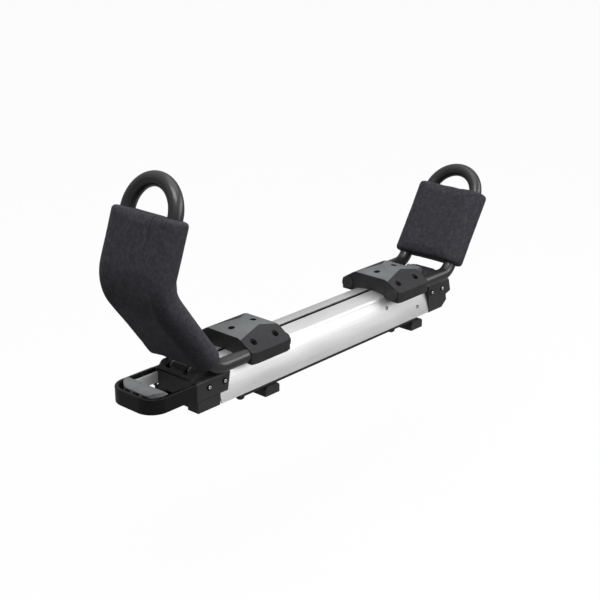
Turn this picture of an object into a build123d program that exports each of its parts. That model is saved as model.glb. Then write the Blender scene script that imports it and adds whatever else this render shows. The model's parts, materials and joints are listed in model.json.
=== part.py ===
from build123d import *
from math import atan2, cos, degrees, radians, sin, sqrt
import os

# Roof carrier for one end of a kayak, in millimetres.  +X runs along the roof bar towards the
# middle of the car (inboard), +Z is up.  The origin is the middle of the base rail's underside,
# the face that sits over the roof bar.

# ---- driving dimensions -------------------------------------------------------------------
# silver cover channel
CHANNEL_LENGTH = 760.0
CHANNEL_FOOT_HALF = 71.5
CHANNEL_SIDE_BULGE = 2.75
CHANNEL_SHOULDER_HALF = 49.0
CHANNEL_TOP_HALF = 41.0
CHANNEL_SIDE_Z = 37.0
CHANNEL_SHOULDER_Z = 74.0
CHANNEL_TOP_Z = 82.5
CHANNEL_CROWN_Z = 87.5
CHANNEL_WALL = 3.0
SLOT_WIDTH = 12.5
TRACK_HALF_WIDTH = 16.5
TRACK_WALL = 2.0
TRACK_FLOOR_Z = 75.5
LINER_FIT = 0.1
LINER_WALL = 0.8
LINER_HEIGHT = 5.0

# base rail that stays on the roof bar
RAIL_SIDE_GAP = 11.5
RAIL_DEPTH = 14.0
RAIL_WALL = 4.0
RAIL_OUTBOARD_END = 62.0
RAIL_INBOARD_END = 40.0
FLANGE_START_INSET = 70.0
FLANGE_END_INSET = 40.0
CHEEK_THICKNESS = 5.0
CHEEK_RADIUS = 14.0
COVER_INSET = 1.5
COVER_GAP_HALF = 36.0
KEEPER_RADIUS = 3.5
KEEPER_Z = 14.0

# crossbar clamps
BAR_SPACE_WIDTH = 70.0
BAR_SPACE_HEIGHT = 28.0
SEAT_PAD_THICKNESS = 4.0
JAW_PLATE = 8.0
JAW_LENGTH = 47.0
JAW_END_WIDTH = 26.0
JAW_GAP = 2.0
JAW_TRAVEL = 12.0
JAW_BOLT_RADIUS = 4.0
JAW_PAD = 2.5
BOLT_CLEARANCE = 0.5
OUTBOARD_JAW_INSET = 173.5
INBOARD_JAW_INSET = 35.0
BUMPER_OFFSET = 90.0
BUMPER_RADIUS = 10.0
BUMPER_HEIGHT = 26.0
BUMPER_Y = 45.0
SEAT_LENGTH = 130.0
ADAPTER_HOLE_RADIUS = 4.3
ADAPTER_SPACING_X = 400.0
ADAPTER_SPACING_Y = 60.0

# lifting linkage
ARM_BASE_OUTSET = 25.0
ARM_BASE_Z = 34.0
ARM_TOP_OUTSET = 57.0
ARM_TOP_Z = 51.0
ARM_INNER = 24.0
ARM_THICKNESS = 6.0
ARM_HALF_HEIGHT = 9.0
ARM_EYE_RADIUS = 11.0
PIVOT_RADIUS = 6.0
BUSH_WALL = 2.0
RUNNING_FIT = 0.05
LINK_DROP = 22.0
LINK_HALF_THICKNESS = 6.0
LINK_HALF_HEIGHT = 5.0
LINK_EYE_RADIUS = 7.5
LINK_PIN_RADIUS = 4.0
LINK_CLEVIS_GAP = 3.0
LINK_CLEARANCE = 4.0
SPRING_OUTER_RADIUS = 13.0
SPRING_WIRE = 3.0
SPRING_TURNS = 3

# outboard housing, its handle and the release
HOUSING_LENGTH = 72.0
HOUSING_LAP = 29.0
HOUSING_BOTTOM_Z = 26.5
HOUSING_SHOULDER_Z = 71.0
HOUSING_CROWN_HALF = 54.8
HOUSING_CROWN_WALL = 2.5
HOUSING_CROWN_Z = 91.0
HOUSING_WALL = 3.0
SIDE_EDGE_LEAN = 9.0
HANDLE_REACH = 130.0
HANDLE_BOTTOM_Z = 34.0
HANDLE_TOP_Z = 70.0
HANDLE_WALL = 9.0
HANDLE_CORNER = 44.0
GRIP_LENGTH = 38.0
GRIP_GAP = 12.0
GRIP_TOP_Z = 76.0
GRIP_BOTTOM_Z = 52.0
GRIP_WALL = 3.0
GRIP_SIDE_GAP = 3.0
GRIP_WINDOW_DEPTH = 20.0
GRIP_HOLLOW_RADIUS = 150.0
GRIP_HOLLOW_DEPTH = 7.0
SIDE_RAIL_SETBACK = 40.0
RELEASE_TRAVEL = 5.0
SIDE_RAIL_THICKNESS = 6.0
SIDE_RAIL_BOTTOM_Z = 29.0
SIDE_RAIL_TOP_Z = 62.0
SIDE_RAIL_GAP = 2.5
GRIP_RIB = 5.0
YOKE_THICKNESS = 5.0
RETURN_WIRE_RADIUS = 0.8
RETURN_MEAN_RADIUS = 3.2
RETURN_LENGTH = 32.0
ROD_RADIUS = 3.0
ROD_Z = 70.0

# latches
LATCH_TURN = 15.0
LATCH_AXLE_Z = 51.0
LATCH_PIN_RADIUS = 4.0
LATCH_HUB_RADIUS = 8.0
LATCH_CHEEK = 2.3
LATCH_REACH = 9.0
HOOK_INNER = 14.6
HOOK_OUTER = 18.0
HOOK_DEPTH = 4.0
FORK_INNER = 5.5
FORK_THICKNESS = 4.0
FORK_PIN_RADIUS = 2.5
FORK_SLOT_WIDTH = 7.2
FORK_SLOT_HEIGHT = 11.0
EAR_RAIL_GAP = 20.0
EAR_WIDTH = 12.0
LATCH_CHEEK_GAP = 2.0
OUTBOARD_CHEEK = 4.0
EAR_HALF_LENGTH = 8.0
OUTBOARD_LATCH_OUTSET = 45.0
INBOARD_LATCH_OUTSET = 25.0
DRUM_RADIUS = 13.0
DRUM_Z = 94.0

# inboard bracket
BRACKET_LENGTH = 96.0
BRACKET_SHOULDER_Z = 72.0
BRACKET_CROWN_Z = 88.0
BRACKET_CROWN_HALF = 49.0
BRACKET_CROWN_INSET = 16.0
BRACKET_SHOULDER_INSET = 9.0
BRACKET_NOSE_Z = 36.0
BRACKET_NOTCH_INSET = 20.0
BRACKET_NOTCH_Z = 30.0
BRACKET_HEEL_INSET = 17.0
BRACKET_HEEL_Z = 14.0
BRACKET_FOOT_INSET = 37.0
BRACKET_FOOT_Z = -2.0
BRACKET_WALL = 5.0
BRACKET_END_GAP_HALF = 36.0
BRACKET_END_WALL = 4.0
BULKHEAD_RAIL_GAP = 2.0
BOSS_WALL = 3.4

# screws and studs seen on the sides
SCREW_Z = 51.5
SCREW_RADIUS = 3.0
SCREW_HEAD_RADIUS = 6.5
SCREW_HEAD_HEIGHT = 2.0
HOUSING_SCREW_OUTSET = 36.0
HOUSING_SCREW_INSET = 11.0
BRACKET_SCREW_OUTSET = 12.0
SIDE_STUD_INSET = 42.0
SIDE_STUD_Z = 25.0
SIDE_STUD_2_INSET = 161.0
SIDE_STUD_2_Z = 52.0
SIDE_STUD_RADIUS = 5.0

# cradles
SADDLE_LENGTH = 125.0
SADDLE_HALF_WIDTH = 93.5
SADDLE_BOTTOM_Z = 72.0
SADDLE_ARCH_HALF = 48.0
SADDLE_ARCH_Z = 78.0
SADDLE_LEG_INNER = 62.0
SADDLE_SHOULDER_HALF = 56.0
SADDLE_SHOULDER_Z = 122.0
SADDLE_END_HALF = 89.5
SADDLE_END_SLANT = 14.0
SADDLE_CROWN_Z = 131.0
SADDLE_EDGE_Z = 98.0
SADDLE_END_DROP = 6.0
SADDLE_CLEARANCE = 0.7
SADDLE_PAD_THICKNESS = 5.0
OUTBOARD_SADDLE_INSET = 77.0
INBOARD_SADDLE_INSET = 159.0
SADDLE_HOLE_INSET = 27.5
SADDLE_HOLE_RADIUS = 8.2
SADDLE_HOLE_DEPTH = 17.0
SADDLE_SCREW_HEAD_RADIUS = 5.5
SCREW_SEAT_WALL = 1.2
SCREW_FIT = 0.1
CAP_END_HALF = 56.0
CAP_WAIST_HALF = 30.0
CAP_WAIST_X = 85.0
CAP_FAR_HALF = 50.0
SADDLE_SIDE_HOLE_Y = 69.0
CRADLE_TRAVEL = 50.0
TUBE_RADIUS = 16.5
TUBE_WALL = 2.5
TUBE_SPACING = 144.0
TUBE_Z = 90.5
TUBE_END_PROUD = 2.0
PLUG_DEPTH = 14.0
SADDLE_BOLT_RADIUS = 3.2
SET_SCREW_RADIUS = 3.0
PAD_START_GAP = 2.0
ARM_PAD_RADIUS = 31.5
OUTBOARD_KNEE_OUTSET = 22.0
OUTBOARD_LEAN = 126.0
OUTBOARD_ELBOW_Z = 295.5
OUTBOARD_TOP_LEAN = 70.0
OUTBOARD_TOP_Z = 443.5
OUTBOARD_PAD_TOP_GAP = 0.5
KNEE_RADIUS = 55.0
INBOARD_KNEE_RADIUS = 45.0
ELBOW_RADIUS = 80.0
INBOARD_KNEE_OUTSET = 74.0
INBOARD_LEAN = 58.0
INBOARD_LEG_LENGTH = 208.5
INBOARD_PAD_OVERLAP = 17.5

# ---- derived places -----------------------------------------------------------------------
channel_side_half = (CHANNEL_FOOT_HALF + CHANNEL_SHOULDER_HALF) / 2 + CHANNEL_SIDE_BULGE
housing_half = CHANNEL_FOOT_HALF
rail_half = CHANNEL_FOOT_HALF - RAIL_SIDE_GAP
cover_half = CHANNEL_FOOT_HALF - COVER_INSET
channel_start = -CHANNEL_LENGTH / 2
channel_end = CHANNEL_LENGTH / 2
flange_start = channel_start + FLANGE_START_INSET
flange_end = channel_end - FLANGE_END_INSET
outboard_jaw_x = channel_start + OUTBOARD_JAW_INSET
inboard_jaw_x = channel_end - INBOARD_JAW_INSET
arm_base_x = channel_start - ARM_BASE_OUTSET
arm_top_x = channel_end + ARM_TOP_OUTSET
outboard_latch_x = channel_start - OUTBOARD_LATCH_OUTSET
inboard_latch_x = channel_end + INBOARD_LATCH_OUTSET
housing_screws_x = (channel_start - HOUSING_SCREW_OUTSET, channel_start + HOUSING_SCREW_INSET)
bracket_screws_x = (channel_end + BRACKET_SCREW_OUTSET,)
side_stud_x = channel_end - SIDE_STUD_INSET
side_stud_2_x = channel_end - SIDE_STUD_2_INSET
outboard_saddle_x = channel_start + OUTBOARD_SADDLE_INSET
inboard_saddle_x = channel_end - INBOARD_SADDLE_INSET
outboard_knee_x = channel_start - OUTBOARD_KNEE_OUTSET
inboard_knee_x = channel_end + INBOARD_KNEE_OUTSET
rail_start = channel_start - RAIL_OUTBOARD_END
rail_end = channel_end + RAIL_INBOARD_END
housing_start = channel_start - HOUSING_LENGTH
housing_end = channel_start + HOUSING_LAP
handle_tip = housing_start - HANDLE_REACH
bracket_end = channel_end + BRACKET_LENGTH
jaw_bottom = -SEAT_PAD_THICKNESS - BAR_SPACE_HEIGHT - JAW_PLATE
jaw_bolt_y = BAR_SPACE_WIDTH / 2 + JAW_END_WIDTH / 2
tube_y = TUBE_SPACING / 2
tube_top = TUBE_Z + TUBE_RADIUS
shoe_top = CHANNEL_CROWN_Z - CHANNEL_WALL - 1.5
cover_bottom = -2.0
cover_top = HOUSING_BOTTOM_Z - 0.5
cheek_inner = ARM_INNER + ARM_THICKNESS + SPRING_TURNS * SPRING_WIRE + 3.0
link_base_z = ARM_BASE_Z - LINK_DROP
link_top_z = ARM_TOP_Z - LINK_DROP
clevis_inner = LINK_HALF_THICKNESS + LINK_CLEVIS_GAP
clevis_outer = clevis_inner + CHEEK_THICKNESS
side_rail_outer = housing_half - HANDLE_WALL - SIDE_RAIL_GAP
side_rail_inner = side_rail_outer - SIDE_RAIL_THICKNESS
yoke_end = outboard_latch_x - LATCH_HUB_RADIUS - 2.0
yoke_start = yoke_end - YOKE_THICKNESS
spring_seat_x = yoke_end + RETURN_LENGTH
ear_outer = side_rail_inner - EAR_RAIL_GAP
ear_inner = ear_outer - EAR_WIDTH
outboard_cheek_outer = ear_outer + LATCH_CHEEK_GAP + OUTBOARD_CHEEK
return_spring_y = side_rail_inner - 6.0
return_spring_z = SIDE_RAIL_TOP_Z - 3.0
post_top = ROD_Z + ROD_RADIUS + 2.0
rod_x_end = inboard_latch_x + 8.0
fork_outer = FORK_INNER + FORK_THICKNESS
keeper_lug_inner = HOOK_OUTER + 1.5
keeper_lug_outer = keeper_lug_inner + 2.5
latch_cheek_inner = 20.0


# ---- helpers ------------------------------------------------------------------------------
def face(*points):
    return make_face(Polyline(*points, close=True))


def along_x(section, x0, x1):
    return extrude(Plane.YZ.offset(x0) * section, x1 - x0)


def along_y(section, y0, y1):
    return extrude(Plane.XZ.offset(-y1) * section, y1 - y0)


def along_z(section, z0, z1):
    return extrude(Plane.XY.offset(z0) * section, z1 - z0)


def block(x0, x1, y0, y1, z0, z1):
    centre = ((x0 + x1) / 2, (y0 + y1) / 2, (z0 + z1) / 2)
    return Pos(*centre) * Box(x1 - x0, y1 - y0, z1 - z0)


def rod_y(x, z, radius, y0, y1):
    return along_y(Pos(x, z) * Circle(radius), y0, y1)


def both_sides(part):
    return part + mirror(part, Plane.XZ)


def bar_xz(x0, z0, x1, z1, half_height, eye_radius, y0, y1):
    """A flat link with round eyes, from one pivot to the other."""
    length = sqrt((x1 - x0) ** 2 + (z1 - z0) ** 2)
    angle = degrees(atan2(z1 - z0, x1 - x0))
    web = Pos((x0 + x1) / 2, (z0 + z1) / 2) * Rot(0, 0, angle) * Rectangle(length, 2 * half_height)
    eyes = Pos(x0, z0) * Circle(eye_radius) + Pos(x1, z1) * Circle(eye_radius)
    return along_y(web + eyes, y0, y1)


def write(name, part):
    export_step(part, f"parts/{name}.step")


# ---- base: rail, seat pads, covers, pivots, keepers ---------------------------------------
def base_rail():
    rail = block(rail_start, rail_end, -rail_half, rail_half, 0, RAIL_WALL)
    flange_inner = rail_half - RAIL_WALL
    rail += both_sides(block(flange_start, flange_end, flange_inner, rail_half, -RAIL_DEPTH, 0))
    # pivot cheeks of the lifting arms
    height = ARM_BASE_Z - RAIL_WALL
    cheek = Pos(arm_base_x, RAIL_WALL + height / 2) * Rectangle(2 * CHEEK_RADIUS, height)
    cheek += Pos(arm_base_x, ARM_BASE_Z) * Circle(CHEEK_RADIUS)
    rail += both_sides(along_y(cheek, cheek_inner, cheek_inner + CHEEK_THICKNESS))
    # clevis of the levelling link, each side of a notch that lets the link hang down
    notch_end = arm_base_x + LINK_EYE_RADIUS + LINK_CLEARANCE
    rail -= block(rail_start, notch_end, -clevis_inner, clevis_inner, 0, RAIL_WALL)
    height = link_base_z - RAIL_WALL
    ear = Pos(arm_base_x, RAIL_WALL + height / 2) * Rectangle(2 * LINK_EYE_RADIUS, height)
    ear += Pos(arm_base_x, link_base_z) * Circle(LINK_EYE_RADIUS)
    rail += both_sides(along_y(ear, clevis_inner, clevis_outer))
    rail -= rod_y(arm_base_x, link_base_z, LINK_PIN_RADIUS, -clevis_outer, clevis_outer)
    rail -= rod_y(arm_base_x, ARM_BASE_Z, PIVOT_RADIUS, -rail_half, rail_half)
    # holes: spare adapter pattern and the clamp bolts
    for x in (-ADAPTER_SPACING_X / 2, ADAPTER_SPACING_X / 2):
        for y in (-ADAPTER_SPACING_Y / 2, ADAPTER_SPACING_Y / 2):
            rail -= Pos(x, y, 0) * Cylinder(ADAPTER_HOLE_RADIUS, 4 * RAIL_WALL)
    for x in (outboard_jaw_x, inboard_jaw_x):
        for y in (-jaw_bolt_y, jaw_bolt_y):
            rail -= Pos(x, y, 0) * Cylinder(JAW_BOLT_RADIUS + BOLT_CLEARANCE, 4 * RAIL_WALL)
    return rail


def base_end_covers():
    outer = cover_half
    side = block(housing_start + 3, channel_start - 0.5, rail_half, outer, cover_bottom, cover_top)
    front = block(housing_start + 3, rail_start, COVER_GAP_HALF, outer, cover_bottom, cover_top)
    cover = fillet((side + front).edges().filter_by(Axis.Z).sort_by(Axis.X)[0:1], 2)
    end = channel_start - 0.5
    lean = face((end - SIDE_EDGE_LEAN, cover_bottom), (end, cover_bottom), (end, cover_top))
    cover -= along_y(lean, rail_half, outer)
    return both_sides(cover)


def seat_pads():
    pads = Part()
    for x in (outboard_jaw_x, inboard_jaw_x):
        start = x - BUMPER_OFFSET - BUMPER_RADIUS
        half = BAR_SPACE_WIDTH / 2 - 1
        pads += block(start, start + SEAT_LENGTH, -half, half, -SEAT_PAD_THICKNESS, 0)
    return pads


def guide_bumpers():
    bumpers = Part()
    for x in (outboard_jaw_x, inboard_jaw_x):
        post = along_z(Circle(BUMPER_RADIUS), -BUMPER_HEIGHT, 0)
        post = fillet(post.edges().sort_by(Axis.Z)[0], BUMPER_RADIUS * 0.7)
        bumpers += Pos(x - BUMPER_OFFSET, BUMPER_Y, 0) * post
        bumpers += Pos(x - BUMPER_OFFSET, -BUMPER_Y, 0) * post
    return bumpers


def lift_pivot_pins():
    pin = rod_y(arm_base_x, ARM_BASE_Z, PIVOT_RADIUS, ARM_INNER - 1.5, cheek_inner + CHEEK_THICKNESS)
    head_y = cheek_inner + CHEEK_THICKNESS
    pin += rod_y(arm_base_x, ARM_BASE_Z, PIVOT_RADIUS + 3, head_y, head_y + 3)
    return both_sides(pin)


def coil(wire_radius, mean_radius, pitch, length):
    """Helical spring that starts at the origin and runs along +Z."""
    helix = Helix(pitch=pitch, height=length - 2 * wire_radius, radius=mean_radius)
    section = Plane(origin=helix @ 0, z_dir=helix % 0) * Circle(wire_radius)
    return Pos(0, 0, wire_radius) * sweep(section, path=helix)


def lift_springs():
    """Torsion springs between the arms and the base cheeks."""
    length = SPRING_TURNS * SPRING_WIRE
    spring = coil(SPRING_WIRE / 2 - 0.1, SPRING_OUTER_RADIUS - SPRING_WIRE / 2, SPRING_WIRE, length)
    far = Pos(arm_base_x, cheek_inner, ARM_BASE_Z) * Rot(90, 0, 0) * spring
    near = Pos(arm_base_x, -cheek_inner, ARM_BASE_Z) * Rot(-90, 0, 0) * spring
    return far + near


def link_pin(x, z):
    return rod_y(x, z, LINK_PIN_RADIUS, -clevis_outer, clevis_outer)


def latch_keepers():
    keepers = Part()
    for x in (outboard_latch_x, inboard_latch_x):
        bar_x = x - LATCH_REACH
        lug = block(bar_x - 6, bar_x + 6, keeper_lug_inner, keeper_lug_outer, RAIL_WALL, KEEPER_Z + 5)
        bar = rod_y(bar_x, KEEPER_Z, KEEPER_RADIUS, HOOK_INNER - 1, keeper_lug_inner)
        keepers += both_sides(lug + bar)
    return keepers


def jaw_nuts():
    nuts = Part()
    for x in (outboard_jaw_x, inboard_jaw_x):
        nut = along_z(RegularPolygon(7, 6) - Circle(JAW_BOLT_RADIUS + RUNNING_FIT), RAIL_WALL, RAIL_WALL + 6)
        nuts += Pos(x, jaw_bolt_y, 0) * nut
        nuts += Pos(x, -jaw_bolt_y, 0) * nut
    return nuts


# ---- crossbar jaws ------------------------------------------------------------------------
def jaw(x):
    half = BAR_SPACE_WIDTH / 2 + JAW_END_WIDTH
    top = -RAIL_DEPTH - JAW_GAP
    plate = block(x - JAW_LENGTH / 2, x + JAW_LENGTH / 2, -half, half, jaw_bottom, jaw_bottom + JAW_PLATE)
    end = block(x - JAW_LENGTH / 2, x + JAW_LENGTH / 2, half - JAW_END_WIDTH, half, jaw_bottom, top)
    end = fillet(end.edges().filter_by(Axis.Y).sort_by(Axis.Z)[-2:], 9)
    body = plate + both_sides(end)
    for y in (-jaw_bolt_y, jaw_bolt_y):
        body -= Pos(x, y) * along_z(Circle(JAW_BOLT_RADIUS + SCREW_FIT), jaw_bottom, top)
        body -= Pos(x, y, jaw_bottom + 2) * Cylinder(7.5, 8)
    return body


def jaw_pad(x):
    half = BAR_SPACE_WIDTH / 2 - 1
    top = jaw_bottom + JAW_PLATE
    return block(x - JAW_LENGTH / 2 + 2, x + JAW_LENGTH / 2 - 2, -half, half, top, top + JAW_PAD)


def jaw_bolts(x):
    bolts = Part()
    for y in (-jaw_bolt_y, jaw_bolt_y):
        shank = along_z(Circle(JAW_BOLT_RADIUS), jaw_bottom + 6, RAIL_WALL + 6 + JAW_TRAVEL + 2)
        head = along_z(Circle(6.5) - RegularPolygon(3.5, 6), jaw_bottom + 1, jaw_bottom + 5)
        head += along_z(Circle(6.5), jaw_bottom + 4, jaw_bottom + 6)
        bolts += Pos(x, y, 0) * (shank + head)
    return bolts


# ---- lifting arms and levelling link ------------------------------------------------------
def lift_arms():
    arm = bar_xz(arm_base_x, ARM_BASE_Z, arm_top_x, ARM_TOP_Z, ARM_HALF_HEIGHT, ARM_EYE_RADIUS,
                 ARM_INNER, ARM_INNER + ARM_THICKNESS)
    for x, z in ((arm_base_x, ARM_BASE_Z), (arm_top_x, ARM_TOP_Z)):
        arm -= rod_y(x, z, PIVOT_RADIUS + BUSH_WALL, ARM_INNER, ARM_INNER + ARM_THICKNESS)
    return both_sides(arm)


def lift_arm_bushes():
    bushes = Part()
    for x, z in ((arm_base_x, ARM_BASE_Z), (arm_top_x, ARM_TOP_Z)):
        bush = rod_y(x, z, PIVOT_RADIUS + BUSH_WALL, ARM_INNER - 0.5, ARM_INNER + ARM_THICKNESS + 0.5)
        bush -= rod_y(x, z, PIVOT_RADIUS + RUNNING_FIT, ARM_INNER - 1, ARM_INNER + ARM_THICKNESS + 1)
        bushes += both_sides(bush)
    return bushes


def levelling_link():
    link = bar_xz(arm_base_x, link_base_z, arm_top_x, link_top_z, LINK_HALF_HEIGHT, LINK_EYE_RADIUS,
                  -LINK_HALF_THICKNESS, LINK_HALF_THICKNESS)
    for x, z in ((arm_base_x, link_base_z), (arm_top_x, link_top_z)):
        link -= rod_y(x, z, LINK_PIN_RADIUS + RUNNING_FIT, -LINK_HALF_THICKNESS, LINK_HALF_THICKNESS)
    return link


# ---- carriage: silver channel -------------------------------------------------------------
def channel_outline():
    edges = []
    for side in (1, -1):
        edges.append(ThreePointArc((side * CHANNEL_FOOT_HALF, 0), (side * channel_side_half, CHANNEL_SIDE_Z),
                                   (side * CHANNEL_SHOULDER_HALF, CHANNEL_SHOULDER_Z)))
        middle = ((CHANNEL_SHOULDER_HALF + CHANNEL_TOP_HALF) / 2 + 1.6,
                  (CHANNEL_SHOULDER_Z + CHANNEL_TOP_Z) / 2 + 1.2)
        edges.append(ThreePointArc((side * CHANNEL_SHOULDER_HALF, CHANNEL_SHOULDER_Z),
                                   (side * middle[0], middle[1]), (side * CHANNEL_TOP_HALF, CHANNEL_TOP_Z)))
    edges.append(ThreePointArc((CHANNEL_TOP_HALF, CHANNEL_TOP_Z), (0, CHANNEL_CROWN_Z),
                               (-CHANNEL_TOP_HALF, CHANNEL_TOP_Z)))
    edges.append(Line((-CHANNEL_FOOT_HALF, 0), (CHANNEL_FOOT_HALF, 0)))
    return make_face(edges)


def channel():
    outer = channel_outline()
    inner = offset(outer, -CHANNEL_WALL, kind=Kind.INTERSECTION)
    opening = 2 * (CHANNEL_FOOT_HALF - CHANNEL_WALL) - 1
    inner += Pos(0, CHANNEL_WALL / 2) * Rectangle(opening, 2 * CHANNEL_WALL)
    shell = along_x(outer - inner, channel_start, channel_end)
    half = SLOT_WIDTH / 2
    shell -= block(channel_start, channel_end, -half, half, CHANNEL_TOP_Z - CHANNEL_WALL, CHANNEL_CROWN_Z)
    # the closed track under the slot joins the two halves and carries the cradles' shoes
    track_outer = TRACK_HALF_WIDTH + TRACK_WALL
    track = block(channel_start, channel_end, -track_outer, track_outer, TRACK_FLOOR_Z, CHANNEL_CROWN_Z - 1)
    track -= block(channel_start, channel_end, -TRACK_HALF_WIDTH, TRACK_HALF_WIDTH,
                   TRACK_FLOOR_Z + TRACK_WALL, CHANNEL_CROWN_Z)
    shell += track & along_x(outer, channel_start, channel_end)
    for x, z in ((side_stud_x, SIDE_STUD_Z), (side_stud_2_x, SIDE_STUD_2_Z)):
        shell -= rod_y(x, z, SIDE_STUD_RADIUS, -CHANNEL_FOOT_HALF, CHANNEL_FOOT_HALF)
    return shell


def slot_liner():
    """Thin black nylon U that lines the track, so that the shoes slide without wear."""
    outer = TRACK_HALF_WIDTH - LINER_FIT
    inner = outer - LINER_WALL
    floor = TRACK_FLOOR_Z + TRACK_WALL
    liner = block(channel_start, channel_end, -outer, outer, floor, floor + LINER_HEIGHT)
    return liner - block(channel_start, channel_end, -inner, inner, floor + LINER_WALL, floor + LINER_HEIGHT)


def side_studs():
    """Short bright studs through the channel's sides, just below its surface."""
    studs = Part()
    for x, z, y in ((side_stud_x, SIDE_STUD_Z, channel_half_at(SIDE_STUD_Z)),
                    (side_stud_2_x, SIDE_STUD_2_Z, channel_half_at(SIDE_STUD_2_Z))):
        stud = rod_y(x, z, SIDE_STUD_RADIUS, y - CHANNEL_WALL, y - 0.4)
        stud += rod_y(x, z, SIDE_STUD_RADIUS + 2, y - 2 * CHANNEL_WALL - 3.5, y - CHANNEL_WALL - 2.7)
        stud += rod_y(x, z, SIDE_STUD_RADIUS, y - 2 * CHANNEL_WALL, y - CHANNEL_WALL)
        studs += both_sides(stud)
    return studs


def channel_half_at(z):
    """Half width of the channel at a height on its side, on the arc through the side's three points."""
    share = z / CHANNEL_SHOULDER_Z
    chord = CHANNEL_FOOT_HALF + (CHANNEL_SHOULDER_HALF - CHANNEL_FOOT_HALF) * share
    bulge = CHANNEL_SIDE_BULGE
    return chord + 4 * bulge * share * (1 - share)


# ---- carriage: outboard housing -----------------------------------------------------------
def stepped(half, shoulder_z, crown_half, crown_z, bottom_z):
    low = face((-half, bottom_z), (half, bottom_z), (half, shoulder_z), (-half, shoulder_z))
    low = fillet(low.vertices().group_by(Axis.Y)[-1], 6)
    high = face((-crown_half, bottom_z), (crown_half, bottom_z), (crown_half, crown_z),
                (-crown_half, crown_z))
    high = fillet(high.vertices().group_by(Axis.Y)[-1], 7)
    return low + high


def outboard_housing():
    wall = HOUSING_WALL
    outer = stepped(housing_half, HOUSING_SHOULDER_Z, HOUSING_CROWN_HALF, HOUSING_CROWN_Z,
                    HOUSING_BOTTOM_Z)
    inner = stepped(housing_half - wall, HOUSING_SHOULDER_Z - wall,
                    HOUSING_CROWN_HALF - HOUSING_CROWN_WALL, HOUSING_CROWN_Z - wall, HOUSING_BOTTOM_Z - 1)
    shell = along_x(outer, housing_start, housing_end) - along_x(inner, housing_start + wall, housing_end)
    # the crown starts behind the front wall and slopes up from it
    slope = face((housing_start, HOUSING_SHOULDER_Z + 1), (housing_start + 18, HOUSING_CROWN_Z + 1),
                 (housing_start, HOUSING_CROWN_Z + 1))
    shell -= along_y(slope, -housing_half, housing_half)
    lid = face((housing_start, HOUSING_SHOULDER_Z + 1), (housing_start + 18, HOUSING_CROWN_Z + 1),
               (housing_start + 18, HOUSING_CROWN_Z - 2.5), (housing_start + 3, HOUSING_SHOULDER_Z - 2.5),
               (housing_start, HOUSING_SHOULDER_Z - 2.5))
    lid = along_y(lid, -HOUSING_CROWN_HALF, HOUSING_CROWN_HALF)
    shell += lid & along_x(outer, housing_start, housing_end)
    # the inboard edges of its sides lean back towards the foot
    lean = face((housing_end - SIDE_EDGE_LEAN, HOUSING_BOTTOM_Z), (housing_end, HOUSING_BOTTOM_Z),
                (housing_end, HOUSING_SHOULDER_Z))
    shell -= along_y(lean, -housing_half, housing_half)
    # slots for the side rails of the release and for the ears of the latch
    rail_slot = block(housing_start, housing_start + wall, side_rail_inner - 1, side_rail_outer + 1,
                      HOUSING_BOTTOM_Z, SIDE_RAIL_TOP_Z + 1)
    shell -= both_sides(rail_slot)
    ear_slot = block(outboard_latch_x - EAR_HALF_LENGTH - 13, outboard_latch_x + EAR_HALF_LENGTH + 2,
                     ear_inner - 1, ear_outer + 1, HOUSING_SHOULDER_Z - 6, HOUSING_CROWN_Z)
    shell -= both_sides(ear_slot)
    # relief for the yoke's post
    shell -= block(yoke_start - RELEASE_TRAVEL - 1.5, yoke_end, -7, 7, SIDE_RAIL_TOP_Z, post_top + 0.8)
    # hanging cheeks that carry the latch axle
    cheek_inner_y = ear_outer + LATCH_CHEEK_GAP
    cheek = block(outboard_latch_x - 8, outboard_latch_x + 8, cheek_inner_y, outboard_cheek_outer,
                  LATCH_AXLE_Z - 8, HOUSING_CROWN_Z - wall)
    shell += both_sides(cheek)
    seat = block(spring_seat_x, spring_seat_x + 3, return_spring_y - 5, return_spring_y + 5,
                 return_spring_z - 5, HOUSING_CROWN_Z - wall)
    shell += both_sides(seat)
    shell -= rod_y(outboard_latch_x, LATCH_AXLE_Z, LATCH_PIN_RADIUS,
                   -outboard_cheek_outer, outboard_cheek_outer)
    for x in housing_screws_x:
        shell -= rod_y(x, SCREW_Z, SCREW_RADIUS, -housing_half, housing_half)
    return shell


def side_screws(xs, half_width, wall):
    screws = Part()
    for x in xs:
        shank = rod_y(x, SCREW_Z, SCREW_RADIUS, half_width - wall - 2, half_width)
        head = rod_y(x, SCREW_Z, SCREW_HEAD_RADIUS, half_width, half_width + SCREW_HEAD_HEIGHT)
        socket = Pos(x, SCREW_Z) * RegularPolygon(3, 6)
        head -= along_y(socket, half_width + 1, half_width + SCREW_HEAD_HEIGHT)
        screws += both_sides(shank + head)
    return screws


# ---- carriage: handle loop ----------------------------------------------------------------
def handle_loop():
    outer = Rectangle(HANDLE_REACH, 2 * housing_half)
    outer = fillet(outer.vertices().group_by(Axis.X)[0], HANDLE_CORNER)
    inner = Pos(HANDLE_WALL, 0) * Rectangle(HANDLE_REACH, 2 * (housing_half - HANDLE_WALL))
    inner = fillet(inner.vertices().group_by(Axis.X)[0], HANDLE_CORNER - HANDLE_WALL)
    bar = along_z(Pos(housing_start - HANDLE_REACH / 2, 0) * (outer - inner), HANDLE_BOTTOM_Z, HANDLE_TOP_Z)
    rims = bar.edges().group_by(Axis.Z)[-1] + bar.edges().group_by(Axis.Z)[0]
    return fillet(rims.filter_by(lambda edge: edge.center().X < housing_start - 1), 2)


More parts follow.
